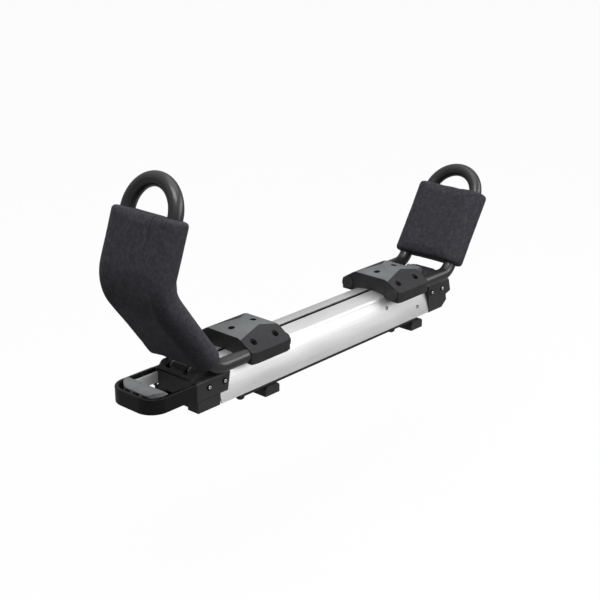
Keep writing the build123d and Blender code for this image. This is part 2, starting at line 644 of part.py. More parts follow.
# ---- carriage: inboard bracket ------------------------------------------------------------
def bracket_side():
    """Side outline: a tall box whose foot tapers back, topped by the crown."""
    return face((channel_end, BRACKET_FOOT_Z), (channel_end, BRACKET_CROWN_Z),
                (bracket_end - BRACKET_CROWN_INSET, BRACKET_CROWN_Z),
                (bracket_end - BRACKET_SHOULDER_INSET, BRACKET_SHOULDER_Z),
                (bracket_end, BRACKET_NOSE_Z),
                (bracket_end - BRACKET_NOTCH_INSET, BRACKET_NOTCH_Z),
                (bracket_end - BRACKET_HEEL_INSET, BRACKET_HEEL_Z),
                (bracket_end - BRACKET_FOOT_INSET, BRACKET_FOOT_Z))


def inboard_bracket():
    half = housing_half
    wall = BRACKET_WALL
    ceiling = BRACKET_CROWN_Z - wall
    outer = stepped(half, BRACKET_SHOULDER_Z, BRACKET_CROWN_HALF, BRACKET_CROWN_Z, -2)
    inner = stepped(half - wall, BRACKET_SHOULDER_Z - wall, BRACKET_CROWN_HALF - wall, ceiling, -3)
    side = along_y(bracket_side(), -half, half)
    shell = along_x(outer, channel_end, bracket_end) & side
    hollow = along_x(inner, channel_end, bracket_end)
    end_wall = side - Pos(-BRACKET_END_WALL, 0, 0) * side
    end_wall -= block(channel_end, bracket_end, -BRACKET_END_GAP_HALF, BRACKET_END_GAP_HALF, -3, ceiling)
    shell -= hollow - end_wall
    # bulkhead against the channel's end, open for the arms, the link and the rod
    bulkhead = along_x(outer, channel_end, channel_end + BRACKET_END_WALL)
    bulkhead -= block(channel_end, channel_end + BRACKET_END_WALL, -BRACKET_END_GAP_HALF,
                      BRACKET_END_GAP_HALF, -3, ceiling - 3)
    clear_half = rail_half + BULKHEAD_RAIL_GAP
    bulkhead -= block(channel_end, channel_end + BRACKET_END_WALL, -clear_half, clear_half,
                      -3, RAIL_WALL + BULKHEAD_RAIL_GAP)
    shell += bulkhead
    # window over the inboard latch, and the hanging cheeks of its axle
    shell -= block(channel_end, inboard_latch_x + 20, -latch_cheek_inner, latch_cheek_inner,
                   ceiling - 1, BRACKET_CROWN_Z + 1)
    cheek = block(inboard_latch_x - 9, inboard_latch_x + 9, latch_cheek_inner,
                  latch_cheek_inner + LATCH_CHEEK, LATCH_AXLE_Z - 8, ceiling + 1)
    shell += both_sides(cheek)
    # clevis of the levelling link and bosses of the pivot bolts
    clevis = block(arm_top_x - 8, arm_top_x + 8, clevis_inner, clevis_outer, link_top_z - 8, ceiling + 1)
    shell += both_sides(clevis)
    boss_inner = ARM_INNER + ARM_THICKNESS + 1.5
    shell += both_sides(rod_y(arm_top_x, ARM_TOP_Z, PIVOT_RADIUS + BOSS_WALL, boss_inner, half - wall + 1))
    shell -= rod_y(arm_top_x, link_top_z, LINK_PIN_RADIUS, -clevis_outer, clevis_outer)
    shell -= both_sides(rod_y(arm_top_x, ARM_TOP_Z, PIVOT_RADIUS, boss_inner, half))
    shell -= rod_y(inboard_latch_x, LATCH_AXLE_Z, LATCH_PIN_RADIUS, -half + 10, half - 10)
    for x in bracket_screws_x:
        shell -= rod_y(x, SCREW_Z, SCREW_RADIUS, -half, half)
    # raised rib across the crown's end
    rib = block(bracket_end - 26, bracket_end - 19, -30, 30, BRACKET_CROWN_Z - 1, BRACKET_CROWN_Z + 3)
    return shell + rib


def carriage_pivot_bolts():
    half = housing_half
    bolt = rod_y(arm_top_x, ARM_TOP_Z, PIVOT_RADIUS, ARM_INNER - 1.5, half)
    bolt += rod_y(arm_top_x, ARM_TOP_Z, SCREW_HEAD_RADIUS, half, half + SCREW_HEAD_HEIGHT)
    bolt -= along_y(Pos(arm_top_x, ARM_TOP_Z) * RegularPolygon(3, 6), half + 1, half + SCREW_HEAD_HEIGHT)
    return both_sides(bolt)


def latch_pin(x, reach):
    return rod_y(x, LATCH_AXLE_Z, LATCH_PIN_RADIUS, -reach, reach)


# ---- release: grip, side rails, pull rod --------------------------------------------------
def release_grip():
    outboard = handle_tip + HANDLE_WALL + GRIP_GAP
    inboard = outboard + GRIP_LENGTH
    profile = face((outboard, GRIP_BOTTOM_Z), (outboard, GRIP_TOP_Z - 7), (outboard + 8, GRIP_TOP_Z),
                   (inboard - 9, GRIP_TOP_Z), (inboard, GRIP_TOP_Z - 7), (inboard, GRIP_BOTTOM_Z))
    profile = fillet(profile.vertices().group_by(Axis.Y)[-1], 5)
    grip = along_y(profile, -side_rail_inner, side_rail_inner)
    cap = along_y(profile, -side_rail_outer + 0.5, side_rail_outer - 0.5)
    grip += cap & block(outboard, inboard, -side_rail_outer, side_rail_outer, SIDE_RAIL_TOP_Z, GRIP_TOP_Z)
    # rounded like the handle's inside in plan, and hollowed on the palm side
    corner = HANDLE_CORNER - HANDLE_WALL - GRIP_SIDE_GAP
    plan = Pos((outboard + inboard) / 2, 0) * Rectangle(GRIP_LENGTH, 2 * side_rail_outer - 1)
    plan = fillet(plan.vertices().group_by(Axis.X)[0], corner)
    plan -= Pos(inboard + GRIP_HOLLOW_RADIUS - GRIP_HOLLOW_DEPTH, 0) * Circle(GRIP_HOLLOW_RADIUS)
    grip &= along_z(plan, GRIP_BOTTOM_Z, GRIP_TOP_Z)
    # three finger windows moulded into the outboard face
    window = (2 * (side_rail_outer - corner) + corner - 4 * GRIP_RIB) / 3
    for index in (-1, 0, 1):
        y = index * (window + GRIP_RIB)
        grip -= block(outboard, outboard + GRIP_WINDOW_DEPTH, y - window / 2, y + window / 2,
                      GRIP_BOTTOM_Z + GRIP_WALL, GRIP_TOP_Z - 7 - GRIP_WALL)
    return grip


def release_rails():
    outboard = handle_tip + SIDE_RAIL_SETBACK
    side = face((outboard, SIDE_RAIL_BOTTOM_Z + 10), (outboard + 12, SIDE_RAIL_BOTTOM_Z),
                (outboard + 44, SIDE_RAIL_BOTTOM_Z), (outboard + 56, SIDE_RAIL_BOTTOM_Z + 9),
                (yoke_end, SIDE_RAIL_BOTTOM_Z + 9), (yoke_end, SIDE_RAIL_TOP_Z), (outboard, SIDE_RAIL_TOP_Z))
    rails = both_sides(along_y(side, side_rail_inner, side_rail_outer))
    rails += block(yoke_start, yoke_end, -side_rail_inner, side_rail_inner, SIDE_RAIL_TOP_Z - 6,
                   SIDE_RAIL_TOP_Z)
    rails += block(yoke_start, yoke_end, -5, 5, SIDE_RAIL_TOP_Z - 6, post_top)
    rails -= Pos((yoke_start + yoke_end) / 2, 0, ROD_Z) * Rot(0, 90, 0) * Cylinder(ROD_RADIUS, 20)
    return rails


def pull_rod():
    length = rod_x_end - yoke_start
    rod = Pos((rod_x_end + yoke_start) / 2, 0, ROD_Z) * Rot(0, 90, 0) * Cylinder(ROD_RADIUS, length)
    for x in (outboard_latch_x, inboard_latch_x):
        rod += rod_y(x, ROD_Z, FORK_PIN_RADIUS, -fork_outer, fork_outer)
    return rod


def return_springs():
    spring = coil(RETURN_WIRE_RADIUS, RETURN_MEAN_RADIUS, 4, spring_seat_x - yoke_end)
    springs = Part()
    for y in (-return_spring_y, return_spring_y):
        springs += Pos(yoke_end, y, return_spring_z) * Rot(0, 90, 0) * spring
    return springs


# ---- latches ------------------------------------------------------------------------------
def latch(x, hub_half):
    """Rocker on a cross axle: forks round the pull rod above, hooks under the keepers below."""
    body = rod_y(x, LATCH_AXLE_Z, LATCH_HUB_RADIUS, -hub_half, hub_half)
    fork = face((x - 7.5, LATCH_AXLE_Z), (x + 7.5, LATCH_AXLE_Z), (x + 7.5, ROD_Z + 7), (x - 7.5, ROD_Z + 7))
    fork -= Pos(x, ROD_Z) * SlotOverall(FORK_SLOT_HEIGHT, FORK_SLOT_WIDTH, rotation=90)
    body += both_sides(along_y(fork, FORK_INNER, fork_outer))
    nose_top = KEEPER_Z - KEEPER_RADIUS - 0.6
    hook = face((x - 5, LATCH_AXLE_Z), (x + 5, LATCH_AXLE_Z), (x + 3, nose_top - HOOK_DEPTH),
                (x - LATCH_REACH - 2, nose_top - HOOK_DEPTH), (x - LATCH_REACH - 4, nose_top),
                (x - 4, nose_top))
    body += both_sides(along_y(hook, HOOK_INNER, HOOK_OUTER))
    body -= rod_y(x, LATCH_AXLE_Z, LATCH_PIN_RADIUS + RUNNING_FIT, -hub_half, hub_half)
    return body


def outboard_latch():
    x = outboard_latch_x
    body = latch(x, ear_outer)
    top = HOUSING_CROWN_Z - 4
    ear = face((x - EAR_HALF_LENGTH, LATCH_AXLE_Z), (x - EAR_HALF_LENGTH, top), (x + EAR_HALF_LENGTH, top),
               (x + EAR_HALF_LENGTH, LATCH_AXLE_Z))
    ear = fillet(ear.vertices().group_by(Axis.Y)[-1], 5)
    body += both_sides(along_y(ear, ear_inner, ear_outer))
    return body - rod_y(x, LATCH_AXLE_Z, LATCH_PIN_RADIUS + RUNNING_FIT, -ear_outer, ear_outer)


def inboard_latch():
    x = inboard_latch_x
    half = latch_cheek_inner - 0.8
    body = latch(x, half)
    neck = block(x - 6, x + 6, HOOK_INNER, half, LATCH_AXLE_Z, DRUM_Z)
    body += both_sides(neck)
    body += rod_y(x, DRUM_Z, DRUM_RADIUS, -half, half) - rod_y(x, ROD_Z, 10, -FORK_INNER, FORK_INNER)
    return body - rod_y(x, LATCH_AXLE_Z, LATCH_PIN_RADIUS + RUNNING_FIT, -half, half)


# ---- cradle saddles -----------------------------------------------------------------------
def saddle_envelope(x0):
    """Arched block, crowned across and along, with rounded corners in plan."""
    half = SADDLE_HALF_WIDTH
    bottom = SADDLE_BOTTOM_Z
    shoulder = (SADDLE_SHOULDER_HALF, SADDLE_SHOULDER_Z)
    across = make_face([
        Line((SADDLE_LEG_INNER, bottom), (half, bottom)),
        Line((half, bottom), (half, SADDLE_EDGE_Z)),
        Line((half, SADDLE_EDGE_Z), shoulder),
        ThreePointArc(shoulder, (0, SADDLE_CROWN_Z), (-shoulder[0], shoulder[1])),
        Line((-shoulder[0], shoulder[1]), (-half, SADDLE_EDGE_Z)),
        Line((-half, SADDLE_EDGE_Z), (-half, bottom)),
        Line((-half, bottom), (-SADDLE_LEG_INNER, bottom)),
        Line((-SADDLE_LEG_INNER, bottom), (-SADDLE_ARCH_HALF, SADDLE_ARCH_Z)),
        Line((-SADDLE_ARCH_HALF, SADDLE_ARCH_Z), (SADDLE_ARCH_HALF, SADDLE_ARCH_Z)),
        Line((SADDLE_ARCH_HALF, SADDLE_ARCH_Z), (SADDLE_LEG_INNER, bottom)),
    ])
    body = along_x(across, x0, x0 + SADDLE_LENGTH)
    end_z = SADDLE_CROWN_Z - SADDLE_END_DROP
    along = make_face([
        Line((x0, bottom), (x0, end_z)),
        ThreePointArc((x0, end_z), (x0 + SADDLE_LENGTH / 2, SADDLE_CROWN_Z), (x0 + SADDLE_LENGTH, end_z)),
        Line((x0 + SADDLE_LENGTH, end_z), (x0 + SADDLE_LENGTH, bottom)),
        Line((x0 + SADDLE_LENGTH, bottom), (x0, bottom)),
    ])
    body &= along_y(along, -half, half)
    x1 = x0 + SADDLE_LENGTH
    plan = face((x0, SADDLE_END_HALF), (x0 + SADDLE_END_SLANT, half), (x1 - SADDLE_END_SLANT, half),
                (x1, SADDLE_END_HALF), (x1, -SADDLE_END_HALF), (x1 - SADDLE_END_SLANT, -half),
                (x0 + SADDLE_END_SLANT, -half), (x0, -SADDLE_END_HALF))
    return body & along_z(plan, bottom, SADDLE_CROWN_Z)


def saddle_hole_places(x0):
    xs = (x0 + SADDLE_HOLE_INSET, x0 + SADDLE_LENGTH - SADDLE_HOLE_INSET)
    return [(x, y) for x in xs for y in (-SADDLE_SIDE_HOLE_Y, 0, SADDLE_SIDE_HOLE_Y)]


def saddle(x0):
    """Returns the dark saddle body and the grey pad that lies on its top."""
    whole = saddle_envelope(x0)
    around_channel = offset(channel_outline(), SADDLE_CLEARANCE, kind=Kind.INTERSECTION)
    whole -= along_x(around_channel, x0, x0 + SADDLE_LENGTH)
    for y in (-tube_y, tube_y):
        bore = Rot(0, 90, 0) * Cylinder(TUBE_RADIUS, 2 * SADDLE_LENGTH)
        whole -= Pos(x0 + SADDLE_LENGTH / 2, y, TUBE_Z) * bore
    for x, y in saddle_hole_places(x0):
        seat_z = tube_top + SCREW_SEAT_WALL if y else SADDLE_CROWN_Z - SADDLE_HOLE_DEPTH
        whole -= along_z(Pos(x, y) * Circle(SADDLE_HOLE_RADIUS), seat_z, SADDLE_CROWN_Z + 1)
        if y:
            whole -= along_z(Pos(x, y) * Circle(SET_SCREW_RADIUS + SCREW_FIT), tube_top - 4, seat_z)
        else:
            whole -= along_z(Pos(x, y) * Circle(SADDLE_BOLT_RADIUS + SCREW_FIT), CHANNEL_TOP_Z, seat_z)
    x1 = x0 + SADDLE_LENGTH
    side = [(x0, CAP_END_HALF), (x0 + CAP_WAIST_X, CAP_WAIST_HALF), (x1, CAP_FAR_HALF)]
    plan = face(*side, *[(x, -y) for x, y in reversed(side)])
    core = along_z(plan, SADDLE_BOTTOM_Z, SADDLE_CROWN_Z)
    skin = whole - Pos(0, 0, -SADDLE_PAD_THICKNESS) * saddle_envelope(x0)
    pad = skin & core & block(x0, x0 + SADDLE_LENGTH, -SADDLE_HALF_WIDTH, SADDLE_HALF_WIDTH,
                              SADDLE_CROWN_Z - 25, SADDLE_CROWN_Z)
    return whole - pad, pad


def slot_shoe(x0):
    length = SADDLE_LENGTH - 20
    start = x0 + 10
    shoe = block(start, start + length, -15, 15, shoe_top - 4, shoe_top)
    rib_half = SLOT_WIDTH / 2 - 0.4
    rib_top = CHANNEL_CROWN_Z + SADDLE_CLEARANCE - 0.2
    shoe += block(start, start + length, -rib_half, rib_half, shoe_top, rib_top)
    for x, y in saddle_hole_places(x0):
        if y == 0:
            bolt = Circle(SADDLE_BOLT_RADIUS + SCREW_FIT)
            shoe -= Pos(x, 0) * along_z(bolt, TRACK_FLOOR_Z, CHANNEL_CROWN_Z + 5)
    return shoe


def socket_screw(head_radius, head_z, head_height, shank_radius, shank_z):
    head = along_z(Circle(head_radius), head_z, head_z + head_height)
    head -= along_z(RegularPolygon(head_radius * 0.5, 6), head_z + 1.5, head_z + head_height)
    return head + along_z(Circle(shank_radius), shank_z, head_z)


def saddle_bolts(x0):
    head_z = SADDLE_CROWN_Z - SADDLE_HOLE_DEPTH
    bolt = socket_screw(SADDLE_SCREW_HEAD_RADIUS, head_z, 5, SADDLE_BOLT_RADIUS, shoe_top - 4)
    return Part() + [Pos(x, y, 0) * bolt for x, y in saddle_hole_places(x0) if y == 0]


def clamp_screws(x0):
    screws = Part()
    for x, y in saddle_hole_places(x0):
        if y:
            screws += Pos(x, y, 0) * socket_screw(SADDLE_SCREW_HEAD_RADIUS, tube_top + SCREW_SEAT_WALL, 3,
                                                  SET_SCREW_RADIUS, tube_top + 0.3)
    return screws


# ---- cradle arms --------------------------------------------------------------------------
def outboard_points():
    """Knee, elbow and start of the top loop of the tall arm, in the XZ plane."""
    knee = (outboard_knee_x, TUBE_Z)
    rise = OUTBOARD_ELBOW_Z - TUBE_Z
    lean = radians(OUTBOARD_LEAN)
    elbow = (knee[0] + rise * cos(lean) / sin(lean), OUTBOARD_ELBOW_Z)
    top_lean = radians(OUTBOARD_TOP_LEAN)
    rise = OUTBOARD_TOP_Z - OUTBOARD_ELBOW_Z
    top = (elbow[0] + rise * cos(top_lean) / sin(top_lean), OUTBOARD_TOP_Z)
    return knee, elbow, top


def inboard_points():
    """Knee and start of the top loop of the short arm."""
    lean = radians(INBOARD_LEAN)
    knee = (inboard_knee_x, TUBE_Z)
    top = (knee[0] + INBOARD_LEG_LENGTH * cos(lean), TUBE_Z + INBOARD_LEG_LENGTH * sin(lean))
    return knee, top


def bent_tube(points, radii, lean, radius):
    """A U-shaped tube: two bent legs joined by a half-circle loop at the top."""
    def leg(y):
        return FilletPolyline(*[(x, y, z) for x, z in points], radius=radii)

    top_x, top_z = points[-1]
    crown = (top_x + tube_y * cos(radians(lean)), 0, top_z + tube_y * sin(radians(lean)))
    loop = ThreePointArc((top_x, -tube_y, top_z), crown, (top_x, tube_y, top_z))
    path = Wire([*leg(-tube_y).edges(), loop, *leg(tube_y).edges()])
    start = points[0]
    along = 1 if points[1][0] > start[0] else -1
    section = Plane(origin=(start[0], -tube_y, start[1]), z_dir=(along, 0, 0)) * Circle(radius)
    return sweep(section, path=path)


def outboard_tube(radius):
    start = (outboard_saddle_x + SADDLE_LENGTH + TUBE_END_PROUD, TUBE_Z)
    return bent_tube([start, *outboard_points()], [KNEE_RADIUS, ELBOW_RADIUS], OUTBOARD_TOP_LEAN, radius)


def inboard_tube(radius):
    start = (inboard_saddle_x - TUBE_END_PROUD, TUBE_Z)
    return bent_tube([start, *inboard_points()], [INBOARD_KNEE_RADIUS], INBOARD_LEAN, radius)


def tube_plugs(x_end, inward):
    plugs = Part()
    for y in (-tube_y, tube_y):
        stem = Pos(x_end + inward * PLUG_DEPTH / 2, y, TUBE_Z) * Rot(0, 90, 0) * Cylinder(
            TUBE_RADIUS - TUBE_WALL, PLUG_DEPTH)
        cap = Pos(x_end - inward * 1.25, y, TUBE_Z) * Rot(0, 90, 0) * Cylinder(TUBE_RADIUS, 2.5)
        plugs += stem + cap
    return plugs


def pad_section():
    return RectangleRounded(TUBE_SPACING + 2 * ARM_PAD_RADIUS, 2 * ARM_PAD_RADIUS, ARM_PAD_RADIUS - 1)


def outboard_pad():
    knee, elbow, top = outboard_points()
    lean = radians(OUTBOARD_LEAN)
    start_run = KNEE_RADIUS * pad_start_factor(180 - OUTBOARD_LEAN) + PAD_START_GAP
    start = (knee[0] + start_run * cos(lean), 0, knee[1] + start_run * sin(lean))
    top_lean = radians(OUTBOARD_TOP_LEAN)
    end = (top[0] - OUTBOARD_PAD_TOP_GAP * cos(top_lean), 0, top[1] - OUTBOARD_PAD_TOP_GAP * sin(top_lean))
    path = FilletPolyline(start, (elbow[0], 0, elbow[1]), end, radius=ELBOW_RADIUS)
    plane = Plane(origin=start, x_dir=(0, 1, 0), z_dir=(cos(lean), 0, sin(lean)))
    pad = sweep(plane * pad_section(), path=path)
    return pad - outboard_tube(TUBE_RADIUS)


def inboard_pad():
    knee, top = inboard_points()
    lean = radians(INBOARD_LEAN)
    start_run = INBOARD_KNEE_RADIUS * pad_start_factor(INBOARD_LEAN) + PAD_START_GAP
    start = (knee[0] + start_run * cos(lean), 0, knee[1] + start_run * sin(lean))
    plane = Plane(origin=start, x_dir=(0, 1, 0), z_dir=(cos(lean), 0, sin(lean)))
    length = INBOARD_LEG_LENGTH - start_run + INBOARD_PAD_OVERLAP
    pad = extrude(plane * pad_section(), length)
    return pad - inboard_tube(TUBE_RADIUS)


def pad_start_factor(turn):
    """Tangent length of a bend per unit of its radius."""
    half = radians(turn / 2)
    return sin(half) / cos(half)


# ---- write the sub-parts ------------------------------------------------------------------
os.makedirs("parts", exist_ok=True)

write("base_rail", base_rail())
write("base_end_covers", base_end_covers())
write("seat_pads", seat_pads())
write("guide_bumpers", guide_bumpers())
write("lift_pivot_pins", lift_pivot_pins())
write("lift_springs", lift_springs())
write("link_base_pin", link_pin(arm_base_x, link_base_z))
write("latch_keepers", latch_keepers())
write("jaw_nuts", jaw_nuts())
for place, x in (("outboard", outboard_jaw_x), ("inboard", inboard_jaw_x)):
    write(f"{place}_jaw", jaw(x))
    write(f"{place}_jaw_pad", jaw_pad(x))
    write(f"{place}_jaw_bolts", jaw_bolts(x))
write("lift_arms", lift_arms())
write("lift_arm_bushes", lift_arm_bushes())
write("levelling_link", levelling_link())
write("channel", channel())
write("slot_liner", slot_liner())
write("side_studs", side_studs())
write("outboard_housing", outboard_housing())
write("housing_screws", side_screws(housing_screws_x, housing_half, HOUSING_WALL))
write("handle_loop", handle_loop())
write("inboard_bracket", inboard_bracket())
write("bracket_screws", side_screws(bracket_screws_x, housing_half, BRACKET_WALL))
write("carriage_pivot_bolts", carriage_pivot_bolts())
write("link_carriage_pin", link_pin(arm_top_x, link_top_z))
write("outboard_latch_pin", latch_pin(outboard_latch_x, outboard_cheek_outer))
write("inboard_latch_pin", latch_pin(inboard_latch_x, latch_cheek_inner + LATCH_CHEEK))
write("return_springs", return_springs())
write("release_grip", release_grip())
write("release_rails", release_rails())
write("pull_rod", pull_rod())
write("outboard_latch", outboard_latch())
write("inboard_latch", inboard_latch())
for place, x0 in (("outboard", outboard_saddle_x), ("inboard", inboard_saddle_x)):
    body, pad = saddle(x0)
    write(f"{place}_saddle", body)
    write(f"{place}_saddle_pad", pad)
    write(f"{place}_slot_shoe", slot_shoe(x0))
    write(f"{place}_saddle_bolts", saddle_bolts(x0))
    write(f"{place}_clamp_screws", clamp_screws(x0))
write("outboard_arm_tube", outboard_tube(TUBE_RADIUS) - outboard_tube(TUBE_RADIUS - TUBE_WALL))
write("inboard_arm_tube", inboard_tube(TUBE_RADIUS) - inboard_tube(TUBE_RADIUS - TUBE_WALL))
write("outboard_tube_plugs", tube_plugs(outboard_saddle_x + SADDLE_LENGTH + TUBE_END_PROUD, -1))
write("inboard_tube_plugs", tube_plugs(inboard_saddle_x - TUBE_END_PROUD, 1))
write("outboard_arm_pad", outboard_pad())
write("inboard_arm_pad", inboard_pad())
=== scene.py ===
import json
from math import cos, pi, radians, sin, tan

import bmesh
import bpy
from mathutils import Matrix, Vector

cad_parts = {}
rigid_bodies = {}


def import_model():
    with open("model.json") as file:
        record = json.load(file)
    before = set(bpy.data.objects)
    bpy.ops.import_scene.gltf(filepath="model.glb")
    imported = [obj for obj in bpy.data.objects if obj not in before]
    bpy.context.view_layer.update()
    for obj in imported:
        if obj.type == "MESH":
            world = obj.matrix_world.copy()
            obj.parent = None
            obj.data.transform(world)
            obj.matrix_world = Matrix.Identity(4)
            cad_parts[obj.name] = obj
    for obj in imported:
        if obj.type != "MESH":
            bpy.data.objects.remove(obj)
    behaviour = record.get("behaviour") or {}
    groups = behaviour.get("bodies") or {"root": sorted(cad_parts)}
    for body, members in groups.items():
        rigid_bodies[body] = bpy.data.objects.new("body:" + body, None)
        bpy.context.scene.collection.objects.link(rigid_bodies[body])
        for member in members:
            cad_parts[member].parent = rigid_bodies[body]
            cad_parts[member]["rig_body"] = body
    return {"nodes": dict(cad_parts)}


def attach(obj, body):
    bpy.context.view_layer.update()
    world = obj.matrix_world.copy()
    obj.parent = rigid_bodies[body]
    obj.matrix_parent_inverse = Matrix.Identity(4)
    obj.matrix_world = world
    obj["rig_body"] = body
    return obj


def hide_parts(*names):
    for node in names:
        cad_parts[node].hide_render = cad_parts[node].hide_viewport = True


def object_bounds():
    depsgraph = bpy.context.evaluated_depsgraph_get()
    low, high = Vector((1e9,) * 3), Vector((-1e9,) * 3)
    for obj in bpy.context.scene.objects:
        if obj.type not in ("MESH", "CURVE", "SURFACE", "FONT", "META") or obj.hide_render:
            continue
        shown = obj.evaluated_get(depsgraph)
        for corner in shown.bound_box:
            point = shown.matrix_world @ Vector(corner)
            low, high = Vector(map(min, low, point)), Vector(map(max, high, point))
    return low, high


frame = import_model()
cad_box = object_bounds()


# ---- Studio -------------------------------------------------------------------------------
# Four wide soft boxes, a sky that brightens upwards and a pale floor, low enough to leave the
# lowered carriage room to hang. The camera looks down on the outboard corner, handle nearest.
camera = bpy.data.objects.new("camera", bpy.data.cameras.new("camera"))
bpy.context.scene.collection.objects.link(camera)
camera.data.lens = 72.24
camera.data.sensor_width = 36.0
camera.location = (-2.04417, -1.80018, 1.12472)
turn, rise = radians(-48.0), radians(20.25)
towards = Vector((-sin(turn) * cos(rise), cos(turn) * cos(rise), -sin(rise)))
camera.rotation_mode = "QUATERNION"
camera.rotation_quaternion = towards.to_track_quat("-Z", "Y")
bpy.context.scene.camera = camera
bpy.context.scene.view_settings.view_transform = "Standard"


def soft_box(name, place, aim, size, power):
    """A rectangular lamp at a place, turned towards the point aim."""
    lamp = bpy.data.lights.new(name, "AREA")
    lamp.shape = "RECTANGLE"
    lamp.size, lamp.size_y = size
    lamp.energy = power
    obj = bpy.data.objects.new(name, lamp)
    obj.location = place
    obj.rotation_euler = (Vector(aim) - Vector(place)).to_track_quat("-Z", "Y").to_euler()
    bpy.context.scene.collection.objects.link(obj)


soft_box("overhead", (0.1, -0.3, 2.6), (0, 0, 0), (3.2, 2.2), 26)
soft_box("front", (0.9, -2.9, 1.3), (0.1, 0, 0.1), (2.6, 1.8), 30)
soft_box("side", (2.2, -2.2, 1.6), (0.1, 0, 0.05), (2.6, 1.4), 30)
soft_box("left", (-1.4, -0.8, 2.9), (-0.2, 0, 0.2), (1.6, 1.2), 34)


def maths(tree, operation, *values):
    """A maths node, fed with numbers or with the outputs of other nodes."""
    made = tree.nodes.new("ShaderNodeMath")
    made.operation = operation
    for socket, value in zip(made.inputs, values):
        if isinstance(value, (int, float)):
            socket.default_value = value
        else:
            tree.links.new(value, socket)
    return made.outputs[0]


def span(tree, value, low, high, start=0.3, end=0.7):
    """Spreads a value that runs from start to end over low to high."""
    made = tree.nodes.new("ShaderNodeMapRange")
    made.inputs["From Min"].default_value = start
    made.inputs["From Max"].default_value = end
    made.inputs["To Min"].default_value = low
    made.inputs["To Max"].default_value = high
    tree.links.new(value, made.inputs["Value"])
    return made.outputs[0]


def shows_background(tree, gloss):
    """1 for rays from the camera or through glass, and the share gloss for reflections."""
    path = tree.nodes.new("ShaderNodeLightPath")
    direct = maths(tree, "MAXIMUM", path.outputs["Is Camera Ray"], path.outputs["Is Transmission Ray"])
    return maths(tree, "MAXIMUM", direct, maths(tree, "MULTIPLY", path.outputs["Is Glossy Ray"], gloss))


def surface(tree, kind, share, lit, shown):
    """Ends a tree in an output of a kind, with the shader lit and a share of the shader shown."""
    mixed = tree.nodes.new("ShaderNodeMixShader")
    for socket, source in zip(mixed.inputs, (share, lit.outputs[0], shown.outputs[0])):
        tree.links.new(source, socket)
    tree.links.new(mixed.outputs[0], tree.nodes.new(kind).inputs["Surface"])


mirrored_share = 0.16
world = bpy.data.worlds.new("sky")
bpy.context.scene.world = world
world.use_nodes = True
sky = world.node_tree
sky.nodes.clear()
direction = sky.nodes.new("ShaderNodeTexCoord")
height = sky.nodes.new("ShaderNodeSeparateXYZ")
sky.links.new(direction.outputs["Generated"], height.inputs[0])
dim = sky.nodes.new("ShaderNodeBackground")
sky.links.new(span(sky, height.outputs["Z"], 0.07, 0.8, 0, 1), dim.inputs["Strength"])
white = sky.nodes.new("ShaderNodeBackground")
for lit in (dim, white):
    lit.inputs["Color"].default_value = (1, 1, 1, 1)
surface(sky, "ShaderNodeOutputWorld", shows_background(sky, mirrored_share), dim, white)

paper = bpy.data.materials.new("paper")
paper.use_nodes = True
tree = paper.node_tree
tree.nodes.clear()
seen = shows_background(tree, mirrored_share)
matt = tree.nodes.new("ShaderNodeBsdfDiffuse")
tree.links.new(span(tree, seen, 0.09, 0.8, 0, 1), matt.inputs["Color"])
glow = tree.nodes.new("ShaderNodeEmission")
surface(tree, "ShaderNodeOutputMaterial", maths(tree, "MULTIPLY", seen, 0.95), matt, glow)

hanging_drop, reach = 0.42, 40
low = cad_box[0][2] - hanging_drop
corners = [(-reach, -reach, low), (reach, -reach, low), (reach, reach, low), (-reach, reach, low)]
floor_mesh = bpy.data.meshes.new("floor")
floor_mesh.from_pydata(corners, [], [(0, 1, 2, 3)])
floor_mesh.materials.append(paper)
floor = bpy.data.objects.new("floor", floor_mesh)
bpy.context.scene.collection.objects.link(floor)


# ---- Base rail and its pins ---------------------------------------------------------------
# A folded steel rail with a black powder coat that stays clamped on the roof bar. The
# keepers, nuts, pivot pins and pull rod are zinc plated, and the springs are darker steel.
def new_material(name):
    """A material with its node tree and its shader."""
    made = bpy.data.materials.new(name)
    made.use_nodes = True
    return made, made.node_tree, made.node_tree.nodes["Principled BSDF"]


def noise(tree, scale, detail=4.0, stretch=(1, 1, 1), distortion=0.0):
    """Noise on object coordinates, drawn out along an axis where stretch is small."""
    place = tree.nodes.new("ShaderNodeTexCoord")
    mapping = tree.nodes.new("ShaderNodeMapping")
    mapping.inputs["Scale"].default_value = stretch
    tree.links.new(place.outputs["Object"], mapping.inputs["Vector"])
    made = tree.nodes.new("ShaderNodeTexNoise")
    made.inputs["Scale"].default_value = scale
    made.inputs["Detail"].default_value = detail
    made.inputs["Distortion"].default_value = distortion
    tree.links.new(mapping.outputs[0], made.inputs["Vector"])
    return made.outputs["Fac"]


def ramp(tree, value, stops):
    """Colour of a value, blended between stops of a position and a colour each."""
    made = tree.nodes.new("ShaderNodeValToRGB")
    points = made.color_ramp.elements
    points[0].position, points[1].position = stops[0][0], stops[-1][0]
    points[0].color, points[1].color = (*stops[0][1], 1), (*stops[-1][1], 1)
    for position, colour in stops[1:-1]:
        points.new(position).color = (*colour, 1)
    tree.links.new(value, made.inputs[0])
    return made.outputs["Color"]


def relief(tree, bsdf, height, depth, strength=0.5, edge=0.0):
    """Bump of the given depth in metres, over edges eased by a small radius."""
    bump = tree.nodes.new("ShaderNodeBump")
    bump.inputs["Strength"].default_value = strength
    bump.inputs["Distance"].default_value = depth
    tree.links.new(height, bump.inputs["Height"])
    if edge:
        bevel = tree.nodes.new("ShaderNodeBevel")
        bevel.inputs["Radius"].default_value = edge
        tree.links.new(bevel.outputs[0], bump.inputs["Normal"])
    tree.links.new(bump.outputs[0], bsdf.inputs["Normal"])


